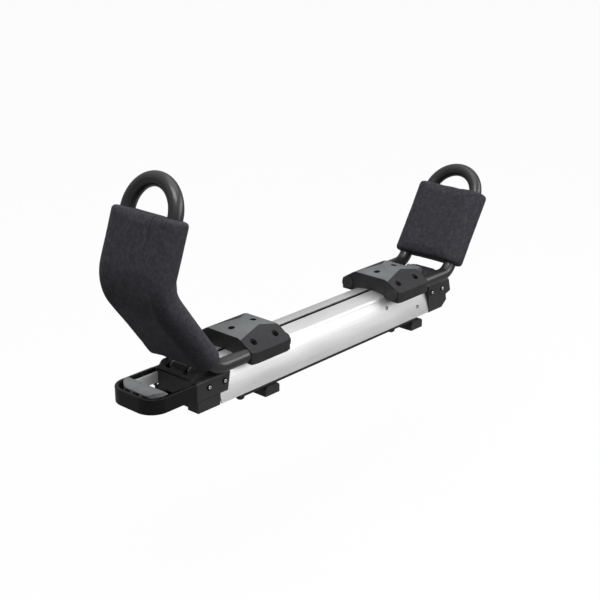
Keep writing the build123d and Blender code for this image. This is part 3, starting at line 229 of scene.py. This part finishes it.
def plated_steel(name, dark, light):
    """Plated or oiled steel, clouded between two colours and finely pitted."""
    made, tree, bsdf = new_material(name)
    bsdf.inputs["Metallic"].default_value = 1.0
    cloud = noise(tree, 45.0, 6.0)
    tree.links.new(ramp(tree, cloud, [(0.35, dark), (0.7, light)]), bsdf.inputs["Base Color"])
    tree.links.new(span(tree, noise(tree, 160.0), 0.28, 0.45), bsdf.inputs["Roughness"])
    relief(tree, bsdf, noise(tree, 1200.0), 0.0001, 0.3, 0.0006)
    return made


def powder_coat(name, dark, light, roughness, coat):
    """Satin black coating, slightly orange peeled."""
    made, tree, bsdf = new_material(name)
    tree.links.new(ramp(tree, noise(tree, 20.0), [(0.35, dark), (0.7, light)]), bsdf.inputs["Base Color"])
    tree.links.new(span(tree, noise(tree, 60.0), roughness, roughness + 0.08), bsdf.inputs["Roughness"])
    bsdf.inputs["Coat Weight"].default_value = coat
    bsdf.inputs["Coat Roughness"].default_value = 0.16
    relief(tree, bsdf, noise(tree, 260.0, 1.0), 0.00002, 0.05)
    return made


def dress(material, *names):
    """Gives CAD pieces their finish."""
    for name in names:
        for holder in frame["nodes"][name].material_slots:
            holder.material = material


rail_coat = powder_coat("rail_coat", (0.009, 0.009, 0.009), (0.014, 0.014, 0.014), 0.42, 0.0)
dress(rail_coat, "base_rail")
zinc = plated_steel("zinc", (0.36, 0.36, 0.35), (0.52, 0.52, 0.53))
dress(zinc, "latch_keepers", "jaw_nuts", "lift_pivot_pins", "link_base_pin",
      "link_carriage_pin", "outboard_latch_pin", "inboard_latch_pin", "pull_rod")
spring_steel = plated_steel("spring_steel", (0.2, 0.2, 0.21), (0.34, 0.34, 0.35))
dress(spring_steel, "lift_springs", "return_springs")


# ---- Base end covers ----------------------------------------------------------------------
# Two injection moulded blocks of glass filled nylon that close the outboard end of the base
# rail. They are clipped over its edges and have a fine spark eroded grain.
def grained_plastic(name, colour, roughness, grain=0.00012, gloss=0.3):
    """Moulded nylon: slightly mottled, with a fine grain of the given depth."""
    made, tree, bsdf = new_material(name)
    light = tuple(c * 1.22 + 0.002 for c in colour)
    dark = tuple(c * 0.86 for c in colour)
    cloud = noise(tree, 14.0, 5.0)
    tree.links.new(ramp(tree, cloud, [(0.32, dark), (0.5, colour), (0.72, light)]), bsdf.inputs["Base Color"])
    worn = span(tree, noise(tree, 90.0), roughness - 0.05, roughness + 0.08)
    tree.links.new(worn, bsdf.inputs["Roughness"])
    bsdf.inputs["Specular IOR Level"].default_value = gloss
    relief(tree, bsdf, noise(tree, 1500.0, 3.0), grain, 0.6, 0.0005)
    return made


def bake(piece):
    """Turns what a piece's modifiers make into its mesh, and drops them."""
    shown = piece.evaluated_get(bpy.context.evaluated_depsgraph_get())
    finished = bpy.data.meshes.new_from_object(shown)
    piece.modifiers.clear()
    piece.data = finished


def moulded(node, name, material, radius, flat=0.9, rim=None, walls=None, fit=None):
    """
    A copy of a CAD piece with its edges rounded, as a mould leaves them. First fit moves the
    corners, and faces less than flat degrees apart are joined. The finish rim goes on the
    rounded edges, or walls on the upright faces.
    """
    source = frame["nodes"][node]
    mesh = source.data.copy()
    mesh.materials.clear()
    for finish in (material, rim or walls):
        if finish:
            mesh.materials.append(finish)
    weld, sharp, upright = 0.00002, radians(32), 0.4
    shape = bmesh.new()
    shape.from_mesh(mesh)
    bmesh.ops.remove_doubles(shape, verts=shape.verts, dist=weld)
    if fit:
        for vert in shape.verts:
            vert.co = fit(vert.co)
    bmesh.ops.dissolve_limit(shape, angle_limit=radians(flat), verts=shape.verts, edges=shape.edges)
    bmesh.ops.dissolve_degenerate(shape, dist=weld, edges=shape.edges)
    shape.to_mesh(mesh)
    shape.free()
    for face in mesh.polygons:
        face.use_smooth = True
        face.material_index = 0
    piece = bpy.data.objects.new(name, mesh)
    bpy.context.scene.collection.objects.link(piece)
    round_edges = piece.modifiers.new("edges", "BEVEL")
    round_edges.width = radius
    round_edges.segments = 3
    round_edges.limit_method = "ANGLE"
    round_edges.angle_limit = sharp
    round_edges.miter_outer = "MITER_ARC"
    if rim:
        round_edges.material = 1
    even = piece.modifiers.new("even", "WEIGHTED_NORMAL")
    even.keep_sharp = True
    bake(piece)
    if walls:
        for face in piece.data.polygons:
            face.material_index = int(abs(face.normal.z) < upright)
    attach(piece, source["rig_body"])
    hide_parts(node)


charcoal = grained_plastic("charcoal_nylon", (0.036, 0.036, 0.0385), 0.47)
cover_corners = [vert.co for vert in frame["nodes"]["base_end_covers"].data.vertices]
cover_end = max(corner.x for corner in cover_corners)
cover_lid = max(corner.z for corner in cover_corners)
cover_foot = min(corner.z for corner in cover_corners)
parting_gap, end_lean, end_shift, near_enough = 0.0015, 0.0095, 0.0065, 0.0005


def seated_cover(corner):
    """Opens the parting line under the housing and brings the inner end to the channel."""
    if corner.z > cover_lid - near_enough:
        return corner - Vector((0, 0, parting_gap))
    if corner.x > cover_end - end_lean and corner.z < cover_foot + near_enough:
        return corner + Vector((end_shift, 0, 0))
    return corner


moulded("base_end_covers", "base_end_cover_mouldings", charcoal, 0.0009,
        fit=seated_cover)


# ---- Roof bar clamps ----------------------------------------------------------------------
# Moulded jaws close on the roof bar from below. Bolts through the rail pull them up, and
# moulded rubber pads grip the bar and guide it into place.
for end in ("outboard", "inboard"):
    moulded(f"{end}_jaw", f"{end}_jaw_moulding", charcoal, 0.0011)
    dress(zinc, f"{end}_jaw_bolts")


def moulded_rubber(name, colour):
    """Matt rubber, paler where dust clings to it."""
    made, tree, bsdf = new_material(name)
    light = tuple(c * 1.5 + 0.004 for c in colour)
    dust = noise(tree, 30.0, 6.0)
    tree.links.new(ramp(tree, dust, [(0.35, colour), (0.7, light)]), bsdf.inputs["Base Color"])
    tree.links.new(span(tree, noise(tree, 200.0), 0.6, 0.8), bsdf.inputs["Roughness"])
    relief(tree, bsdf, noise(tree, 900.0, 4.0), 0.0002, 0.5, 0.0006)
    return made


rubber = moulded_rubber("rubber", (0.016, 0.016, 0.016))
dress(rubber, "outboard_jaw_pad", "inboard_jaw_pad", "seat_pads", "guide_bumpers")


# ---- Lifting arms and levelling link ------------------------------------------------------
# Two flat steel arms swing the carriage off the roof and a third bar keeps it level. The
# arms turn on steel pins in pressed-in plastic bushes.
arm_steel = plated_steel("arm_steel", (0.24, 0.24, 0.25), (0.36, 0.36, 0.37))
dress(arm_steel, "lift_arms", "levelling_link")
dress(charcoal, "lift_arm_bushes")


# ---- Silver channel -----------------------------------------------------------------------
# A satin anodised aluminium extrusion with leaning, slightly bowed sides and a slot along
# its crown, lined with near-black nylon as painted shade in the slot. The die leaves very
# fine lines along its length.
def anodised(name, dark, light, lines, roughness, metallic=0.84):
    """Anodised aluminium with drawn lines along X, of the given strength."""
    made, tree, bsdf = new_material(name)
    bsdf.inputs["Metallic"].default_value = metallic
    drawn = noise(tree, 420.0, 5.0, (0.012, 1, 1))
    tree.links.new(ramp(tree, drawn, [(0.3, dark), (0.7, light)]), bsdf.inputs["Base Color"])
    cloud = noise(tree, 18.0, 4.0, (0.3, 1, 1))
    tree.links.new(span(tree, cloud, roughness, roughness + 0.09), bsdf.inputs["Roughness"])
    relief(tree, bsdf, drawn, 0.00005, lines, 0.0004)
    return made


silver = anodised("satin_anodised", (0.81, 0.81, 0.812), (0.9, 0.9, 0.903), 0.1, 0.36)
moulded("channel", "channel_extrusion", silver, 0.001, 0.3)
# Near-black liner colour: painted shade for the dark slot.
painted_slot_shade = grained_plastic("painted_slot_shade", (0.005, 0.005, 0.005), 0.62)
dress(painted_slot_shade, "slot_liner")


# ---- Outboard housing ---------------------------------------------------------------------
# A one piece nylon cap on the channel's outboard end. It holds the handle, the latch and
# the release, and is screwed through its sides. A lip and three steps shape its front.
moulded("outboard_housing", "outboard_housing_moulding", charcoal, 0.0012)


def ledge(name, profile, spans, material, radius, body):
    """Straight mouldings along Y with a side profile in XZ, their edges rounded."""
    shape = bmesh.new()
    for y0, y1 in spans:
        near = [shape.verts.new((x, y0, z)) for x, z in profile]
        far = [shape.verts.new((x, y1, z)) for x, z in profile]
        shape.faces.new(near)
        shape.faces.new(list(reversed(far)))
        for a in range(len(profile)):
            b = (a + 1) % len(profile)
            shape.faces.new((near[b], near[a], far[a], far[b]))
    bmesh.ops.recalc_face_normals(shape, faces=shape.faces)
    bmesh.ops.bevel(shape, geom=shape.edges, offset=radius, segments=3, profile=0.5, affect="EDGES")
    mesh = bpy.data.meshes.new(name)
    shape.to_mesh(mesh)
    shape.free()
    for face in mesh.polygons:
        face.use_smooth = True
    mesh.materials.append(material)
    piece = bpy.data.objects.new(name, mesh)
    bpy.context.scene.collection.objects.link(piece)
    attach(piece, body)


front = min(vert.co.x for vert in frame["nodes"]["outboard_housing"].data.vertices)
lip = [(front, 0.0685), (front, 0.0745), (front + 0.0032, 0.0745), (front + 0.0052, 0.0685)]
ledge("housing_front_lip", lip, [(-0.052, 0.052)], charcoal, 0.0008, "carriage")
step = [(front + 0.0075, 0.0765), (front + 0.0075, 0.0832),
        (front + 0.0205, 0.0915), (front + 0.024, 0.0905)]
beside_ears = [(-0.046, -0.0345), (-0.0185, 0.0185), (0.0345, 0.046)]
ledge("housing_crown_steps", step, beside_ears, charcoal, 0.0008, "carriage")


# ---- Handle loop --------------------------------------------------------------------------
# A deep U of black nylon, moulded round a steel core and bolted inside the housing. Its
# faces are satin and its rims rounded, and the rims get a paler nylon: painted highlight.
handle_black = grained_plastic("handle_nylon", (0.0026, 0.0026, 0.0024), 0.34, 0.00003, gloss=0.26)
# Paler nylon on the rounded rims: a painted highlight along the handle's edges.
painted_rim_highlight = grained_plastic("painted_rim_highlight_nylon", (0.05, 0.05, 0.049), 0.3, 0.00002)
moulded("handle_loop", "handle_loop_moulding", handle_black, 0.0011, rim=painted_rim_highlight)


# ---- Release grip and side plates ---------------------------------------------------------
# A grey nylon grip with three finger windows, carried by two blanked aluminium plates that
# slide inside the handle and pull the rod of both latches.
grip_grey = grained_plastic("grip_nylon", (0.21, 0.218, 0.223), 0.44)
moulded("release_grip", "release_grip_moulding", grip_grey, 0.001)
plate_alloy = anodised("plate_alloy", (0.82, 0.82, 0.82), (0.88, 0.88, 0.88), 0.3, 0.42, 0.15)
moulded("release_rails", "release_plates", plate_alloy, 0.0005)


# ---- Latches ------------------------------------------------------------------------------
# Grey nylon rockers turn on steel pins and hook under the keepers of the base rail. The
# outboard one shows as two ears, the inboard one as a round drum. The ears get a paler grey
# than the drum: painted light against the shade that the pad casts on them.
ear_painted_light = grained_plastic("latch_nylon_painted_light", (0.25, 0.26, 0.265), 0.44)
slate = grained_plastic("slate_nylon", (0.13, 0.137, 0.142), 0.44)
# Its paler grey is painted light on the ears shaded by the pad.
moulded("outboard_latch", "outboard_latch_moulding", ear_painted_light, 0.0008)
moulded("inboard_latch", "inboard_latch_moulding", slate, 0.0008)


# ---- Inboard bracket ----------------------------------------------------------------------
# A ribbed nylon moulding that closes the channel's inboard end and carries the pivots of
# the lifting arms. It is screwed through its sides.
moulded("inboard_bracket", "inboard_bracket_moulding", charcoal, 0.0012)


# ---- Cradle saddles -----------------------------------------------------------------------
# Arched nylon saddles straddle the channel. A lighter grey cap lies in the top of each, and
# six deep holes take the socket screws that clamp the tube and the shoe.
saddle_black = grained_plastic("saddle_nylon", (0.023, 0.023, 0.025), 0.5)
for end in ("outboard", "inboard"):
    moulded(f"{end}_saddle", f"{end}_saddle_moulding", saddle_black, 0.0016)
    moulded(f"{end}_saddle_pad", f"{end}_saddle_cap", slate, 0.0009,
            walls=saddle_black)


# ---- Screws, studs and shoes --------------------------------------------------------------
# Socket screws hold the sides, the saddles and the pivots. Each side screw is a bright zinc
# button on a near-black flange, with a near-black socket: painted shade of the counterbore
# and the socket. The slotted shoes are milled aluminium.
# Near-black steel, a painted shade: the dark ring round each button and its dark socket.
painted_shade = plated_steel("painted_shade_steel", (0.008, 0.008, 0.008), (0.016, 0.016, 0.016))
# Near-black steel for the screws deep in the saddle holes: painted shade, so the holes read black.
hole_shade = plated_steel("hole_shade_steel", (0.006, 0.006, 0.006), (0.013, 0.013, 0.013))
bright = plated_steel("bright_zinc", (0.84, 0.84, 0.85), (0.95, 0.95, 0.96))
dress(painted_shade, "housing_screws", "bracket_screws", "carriage_pivot_bolts", "side_studs")
for end in ("outboard", "inboard"):
    # Screws at the bottom of the holes, in the near-black steel of painted shade.
    dress(hole_shade, f"{end}_saddle_bolts", f"{end}_clamp_screws")
    dress(plate_alloy, f"{end}_slot_shoe")


def button(name, rim, rise, socket):
    """A domed button facing -Y with a hexagon socket, whose faces carry the mark recess."""
    shape = bmesh.new()
    mark = shape.faces.layers.float.new("recess")
    profile = [(rim, 0.0), (rim, 0.45 * rise), (0.95 * rim, 0.8 * rise), (0.82 * rim, rise),
               (socket, 0.93 * rise), (socket, 0.15 * rise)]
    turns, rings = 36, []
    for index, (radius, height) in enumerate(profile):
        ring = []
        for turn in range(turns):
            angle = 2 * pi * turn / turns
            reach = radius
            if index > 3:
                reach = radius * cos(pi / 6) / cos(angle % (pi / 3) - pi / 6)
            ring.append(shape.verts.new((reach * cos(angle), -height, reach * sin(angle))))
        rings.append(ring)
    for level, (near, far) in enumerate(zip(rings, rings[1:])):
        for turn in range(turns):
            after = (turn + 1) % turns
            made = shape.faces.new((near[turn], near[after], far[after], far[turn]))
            made[mark] = 1.0 if level > 3 else 0.0
            made.smooth = level < 3
    bottom = shape.faces.new(rings[-1])
    bottom[mark] = 1.0
    shape.faces.new(list(reversed(rings[0])))
    bmesh.ops.recalc_face_normals(shape, faces=shape.faces)
    mesh = bpy.data.meshes.new(name)
    shape.to_mesh(mesh)
    shape.free()
    return bpy.data.objects.new(name, mesh)


def row_of_buttons(group_name, metal, socket_shade):
    """Node group that sets a button on each vertex, turned over on the +Y side."""
    group = bpy.data.node_groups.new(group_name, "GeometryNodeTree")
    group.is_modifier = True
    interface = group.interface
    interface.new_socket("Geometry", in_out="INPUT", socket_type="NodeSocketGeometry")
    interface.new_socket("Button", in_out="INPUT", socket_type="NodeSocketObject")
    size = interface.new_socket("Size", in_out="INPUT", socket_type="NodeSocketFloat")
    size.default_value = 1.0
    interface.new_socket("Geometry", in_out="OUTPUT", socket_type="NodeSocketGeometry")
    start, end = group.nodes.new("NodeGroupInput"), group.nodes.new("NodeGroupOutput")
    shape = group.nodes.new("GeometryNodeObjectInfo")
    group.links.new(start.outputs["Button"], shape.inputs["Object"])
    points = group.nodes.new("GeometryNodeMeshToPoints")
    group.links.new(start.outputs["Geometry"], points.inputs["Mesh"])
    at = group.nodes.new("GeometryNodeInputPosition")
    apart = group.nodes.new("ShaderNodeSeparateXYZ")
    group.links.new(at.outputs[0], apart.inputs[0])
    far_side = maths(group, "GREATER_THAN", apart.outputs["Y"], 0.0)
    spin = group.nodes.new("ShaderNodeCombineXYZ")
    group.links.new(maths(group, "MULTIPLY", far_side, pi), spin.inputs["Z"])
    copies = group.nodes.new("GeometryNodeInstanceOnPoints")
    group.links.new(points.outputs[0], copies.inputs["Points"])
    group.links.new(shape.outputs["Geometry"], copies.inputs["Instance"])
    group.links.new(spin.outputs[0], copies.inputs["Rotation"])
    group.links.new(start.outputs["Size"], copies.inputs["Scale"])
    solid = group.nodes.new("GeometryNodeRealizeInstances")
    group.links.new(copies.outputs[0], solid.inputs[0])
    metal_on = group.nodes.new("GeometryNodeSetMaterial")
    metal_on.inputs["Material"].default_value = metal
    group.links.new(solid.outputs[0], metal_on.inputs["Geometry"])
    mark = group.nodes.new("GeometryNodeInputNamedAttribute")
    mark.data_type = "FLOAT"
    mark.inputs["Name"].default_value = "recess"
    # The socket faces take the near-black steel: painted shade in the socket.
    socket_shade_on = group.nodes.new("GeometryNodeSetMaterial")
    socket_shade_on.inputs["Material"].default_value = socket_shade
    group.links.new(metal_on.outputs[0], socket_shade_on.inputs["Geometry"])
    inside = maths(group, "GREATER_THAN", mark.outputs["Attribute"], 0.5)
    group.links.new(inside, socket_shade_on.inputs["Selection"])
    group.links.new(socket_shade_on.outputs[0], end.inputs[0])
    return group


def outer_ends(node):
    """
    Centre of each screw of a node on the -Y side, at its outer face. It is placed to a tenth
    of a millimetre, because the facets lie a little unevenly round the screw's axis.
    """
    apart, digits = 0.01, 4
    near = [vert.co for vert in frame["nodes"][node].data.vertices if vert.co.y < 0]
    near.sort(key=lambda corner: corner.x)
    screws = [[near[0]]]
    for corner in near[1:]:
        if corner.x - screws[-1][-1].x > apart:
            screws.append([])
        screws[-1].append(corner)
    ends = []
    for screw in screws:
        xs, ys, zs = zip(*screw)
        x, z = (round((min(row) + max(row)) / 2, digits) for row in (xs, zs))
        ends.append((x, min(ys), z))
    return ends


def set_buttons(name, group, shape, node, size, sunk, body):
    """One mesh with a button on each screw of a node, a little sunk, and its mirror image."""
    mesh = bpy.data.meshes.new(name)
    ends = [(x, side * (y + sunk), z) for x, y, z in outer_ends(node) for side in (1, -1)]
    mesh.from_pydata(ends, [], [])
    row = bpy.data.objects.new(name, mesh)
    bpy.context.scene.collection.objects.link(row)
    nodes = row.modifiers.new("buttons", "NODES")
    nodes.node_group = group
    sockets = {item.name: item.identifier for item in group.interface.items_tree if item.in_out == "INPUT"}
    nodes[sockets["Button"]] = shape
    nodes[sockets["Size"]] = size
    bake(row)
    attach(row, body)


# Bright zinc domes, whose flanges and sockets carry the near-black painted shade.
buttons = row_of_buttons("row_of_buttons", bright, painted_shade)
screw_button = button("screw_button", 0.005, 0.0013, 0.0021)
for name, node, size, sunk in (("housing_screw_buttons", "housing_screws", 0.84, 0.0),
                               ("bracket_screw_buttons", "bracket_screws", 0.84, 0.0),
                               ("pivot_bolt_buttons", "carriage_pivot_bolts", 0.88, 0.0),
                               ("side_stud_buttons", "side_studs", 0.62, 0.0006)):
    set_buttons(name, buttons, screw_button, node, size, sunk, "carriage")


# ---- Arm tubes ----------------------------------------------------------------------------
# Steel tube bent into a U, with a satin black powder coat that is slightly orange peeled.
# Black nylon plugs close its two ends in the saddle.
powder = powder_coat("black_powder_coat", (0.012, 0.012, 0.0118), (0.019, 0.019, 0.0185), 0.3, 0.25)
for end in ("outboard", "inboard"):
    dress(powder, f"{end}_arm_tube")
    dress(charcoal, f"{end}_tube_plugs")


# ---- Arm pads -----------------------------------------------------------------------------
# Closed cell foam sleeves in a stretched neoprene skin, pulled over the tube loops. The
# skin is matt, mottled and slightly creased. The tall sleeve has a slit in its upper mouth.
def neoprene_skin(name):
    """Matt knitted skin, mottled and lightly creased."""
    made, tree, bsdf = new_material(name)
    cloud = noise(tree, 120.0, 9.0, distortion=0.5)
    colours = [(0.3, (0.028, 0.028, 0.035)), (0.5, (0.038, 0.038, 0.0465)), (0.72, (0.055, 0.055, 0.066))]
    tree.links.new(ramp(tree, cloud, colours), bsdf.inputs["Base Color"])
    tree.links.new(span(tree, noise(tree, 70.0, 6.0), 0.6, 0.78), bsdf.inputs["Roughness"])
    bsdf.inputs["Specular IOR Level"].default_value = 0.16
    bsdf.inputs["Sheen Weight"].default_value = 0.05
    bsdf.inputs["Sheen Roughness"].default_value = 0.5
    knit = noise(tree, 1300.0, 2.0)
    creases = noise(tree, 85.0, 8.0, distortion=0.8)
    relief(tree, bsdf, maths(tree, "MULTIPLY_ADD", creases, 1.6, knit), 0.0006, 0.45)
    return made


neoprene = neoprene_skin("neoprene")
half_spacing, foam_radius, face_dip, points = 0.072, 0.0315, 0.0012, 24


def sleeve_section(inset):
    """Half-round ends joined by faces that dip a little between the tubes."""
    reach, ring = foam_radius - inset, []
    for side in (1, -1):
        for index in range(points):
            angle = -pi / 2 + pi * index / (points - 1)
            ring.append((side * (half_spacing + reach * cos(angle)), side * reach * sin(angle)))
        for index in range(1, points):
            share = index / points
            dip = face_dip * sin(pi * share) ** 0.5
            ring.append((side * half_spacing * (1 - 2 * share), side * (reach - dip)))
    return ring


def bent_centre_line(start, corner, end, radius, step):
    """Points and headings along two straight runs joined by an arc, in the XZ plane."""
    first, last = (corner - start).normalized(), (end - corner).normalized()
    turn = first.angle(last)
    cut = radius * tan(turn / 2)
    arc_start = corner - first * cut
    side = (last - first * first.dot(last)).normalized()
    line = []
    run = (arc_start - start).length
    parts = int(run / step)
    for index in range(parts):
        line.append((start + first * (run * index / parts), first))
    centre = arc_start + side * radius
    parts = max(6, int(radius * turn / step))
    for index in range(parts + 1):
        angle = turn * index / parts
        line.append((centre - side * radius * cos(angle) + first * radius * sin(angle),
                     first * cos(angle) + side * sin(angle)))
    run = (end - corner - last * cut).length
    parts = int(run / step)
    for index in range(1, parts + 1):
        line.append((corner + last * cut + last * (run * index / parts), last))
    return line


def cut_slit(piece, mouth, heading, outwards, y):
    """A thin pointed cut through the skin, from the mouth down the outer face."""
    length, above, depth, proud = 0.055, 0.004, 0.008, 0.012
    half_width, half_tip = 0.0012, 0.0001
    shape = bmesh.new()
    corners = []
    for along, half in ((above, half_width), (-0.6 * length, 0.8 * half_width), (-length, half_tip)):
        for out in (-depth, proud):
            for sign in (-1, 1):
                place = mouth + heading * along + outwards * (foam_radius + out)
                corners.append(shape.verts.new(place + Vector((0, y + sign * half, 0))))
    for near in (0, 4):
        a, b, c, d = corners[near:near + 4]
        e, f, g, h = corners[near + 4:near + 8]
        for ring in ((a, b, f, e), (c, g, h, d), (a, e, g, c), (b, d, h, f)):
            shape.faces.new(ring)
    shape.faces.new((corners[0], corners[2], corners[3], corners[1]))
    shape.faces.new((corners[8], corners[9], corners[11], corners[10]))
    bmesh.ops.recalc_face_normals(shape, faces=shape.faces)
    blade_mesh = bpy.data.meshes.new("blade")
    shape.to_mesh(blade_mesh)
    shape.free()
    blade = bpy.data.objects.new("blade", blade_mesh)
    cut = piece.modifiers.new("slit", "BOOLEAN")
    cut.operation = "DIFFERENCE"
    cut.solver = "EXACT"
    cut.object = blade
    bpy.context.scene.collection.objects.link(blade)
    bake(piece)
    bpy.data.objects.remove(blade)
    piece.data.set_sharp_from_angle(angle=radians(50))


def bare_sleeve(name, line):
    """The sleeve before it swells: sections along a line, drawn in at both mouths."""
    mesh = bpy.data.meshes.new(name)
    shape = bmesh.new()
    rings = []
    rims = [(0.0, 0.0042), (0.0012, 0.0016), (0.0035, 0.0002)]
    length = sum((b[0] - a[0]).length for a, b in zip(line, line[1:]))
    run = 0.0
    for index, (centre, heading) in enumerate(line):
        if index:
            run += (centre - line[index - 1][0]).length
        gap = min(run, length - run)
        inset = next((depth for reach, depth in rims if gap <= reach + 1e-6), 0.0)
        outwards = Vector((heading.z, 0, -heading.x))
        rings.append([shape.verts.new(centre + Vector((0, y, 0)) + outwards * d)
                      for y, d in sleeve_section(inset)])
    for near, far in zip(rings, rings[1:]):
        for a in range(len(near)):
            b = (a + 1) % len(near)
            shape.faces.new((near[a], near[b], far[b], far[a]))
    shape.faces.new(list(reversed(rings[0])))
    shape.faces.new(rings[-1])
    bmesh.ops.recalc_face_normals(shape, faces=shape.faces)
    shape.to_mesh(mesh)
    shape.free()
    piece = bpy.data.objects.new(name, mesh)
    bpy.context.scene.collection.objects.link(piece)
    return piece


def swell(piece):
    """Lets the skin settle as stretched cloth over foam, and keeps part of the movement."""
    most, kept, moments = 0.005, 0.45, 20
    even = piece.modifiers.new("even", "REMESH")
    even.mode = "VOXEL"
    even.voxel_size = 0.0042
    bake(piece)
    before = [vertex.co.copy() for vertex in piece.data.vertices]
    cloth = piece.modifiers.new("swell", "CLOTH")
    cloth.settings.quality = 5
    cloth.settings.mass = 0.3
    cloth.settings.tension_stiffness = 25
    cloth.settings.compression_stiffness = 25
    cloth.settings.bending_stiffness = 2.5
    cloth.settings.shrink_min = -0.012
    cloth.settings.use_pressure = True
    cloth.settings.uniform_pressure_force = 3.0
    cloth.settings.effector_weights.gravity = 0.0
    cloth.collision_settings.use_collision = False
    for moment in range(1, moments + 1):
        bpy.context.scene.frame_set(moment)
    bake(piece)
    bpy.context.scene.frame_set(1)
    for vertex, start in zip(piece.data.vertices, before):
        shift = vertex.co - start
        if shift.length > most:
            shift.length = most
        vertex.co = start + shift * kept


def foam_sleeve(name, line, node, slit_y=None):
    """A finished sleeve in place of a CAD pad, with a slit in its upper mouth if asked."""
    piece = bare_sleeve(name, line)
    swell(piece)
    for face in piece.data.polygons:
        face.use_smooth = True
    finer = piece.modifiers.new("finer", "SUBSURF")
    finer.levels = finer.render_levels = 1
    bake(piece)
    if slit_y is not None:
        centre, heading = line[-1]
        cut_slit(piece, centre, heading, Vector((-heading.z, 0, heading.x)), slit_y)
    piece.data.materials.clear()
    piece.data.materials.append(neoprene)
    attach(piece, node.split("_")[0] + "_cradle")
    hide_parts(node)


def leaning(angle):
    """Unit vector in the XZ plane, turned up from +X by an angle."""
    return Vector((cos(angle), 0, sin(angle)))


# The tall sleeve follows its tube loop up from the knee and over the elbow, the short one
# only up from the knee.
tube_z, hem_gap = 0.0905, 0.002
lean, upper_lean = radians(126), radians(70)
knee_radius, elbow_radius = 0.055, 0.08
lower_rise, upper_rise, mouth_gap = 0.205, 0.148, 0.0005
knee = Vector((-0.402, 0, tube_z))
hem = knee + leaning(lean) * (knee_radius * tan((pi - lean) / 2) + hem_gap)
elbow = knee + leaning(lean) * (lower_rise / sin(lean))
mouth = elbow + leaning(upper_lean) * (upper_rise / sin(upper_lean) - mouth_gap)
tall_line = bent_centre_line(hem, elbow, mouth, elbow_radius, 0.006)
foam_sleeve("outboard_foam_sleeve", tall_line, "outboard_arm_pad", slit_y=-0.04)

lean, knee_radius, length, steps = radians(58), 0.045, 0.226, 34
knee = Vector((0.454, 0, tube_z))
hem = knee + leaning(lean) * (knee_radius * tan(lean / 2) + hem_gap)
mouth = knee + leaning(lean) * length
straight = (mouth - hem).normalized()
short_line = [(hem.lerp(mouth, index / steps), straight) for index in range(steps + 1)]
foam_sleeve("inboard_foam_sleeve", short_line, "inboard_arm_pad")
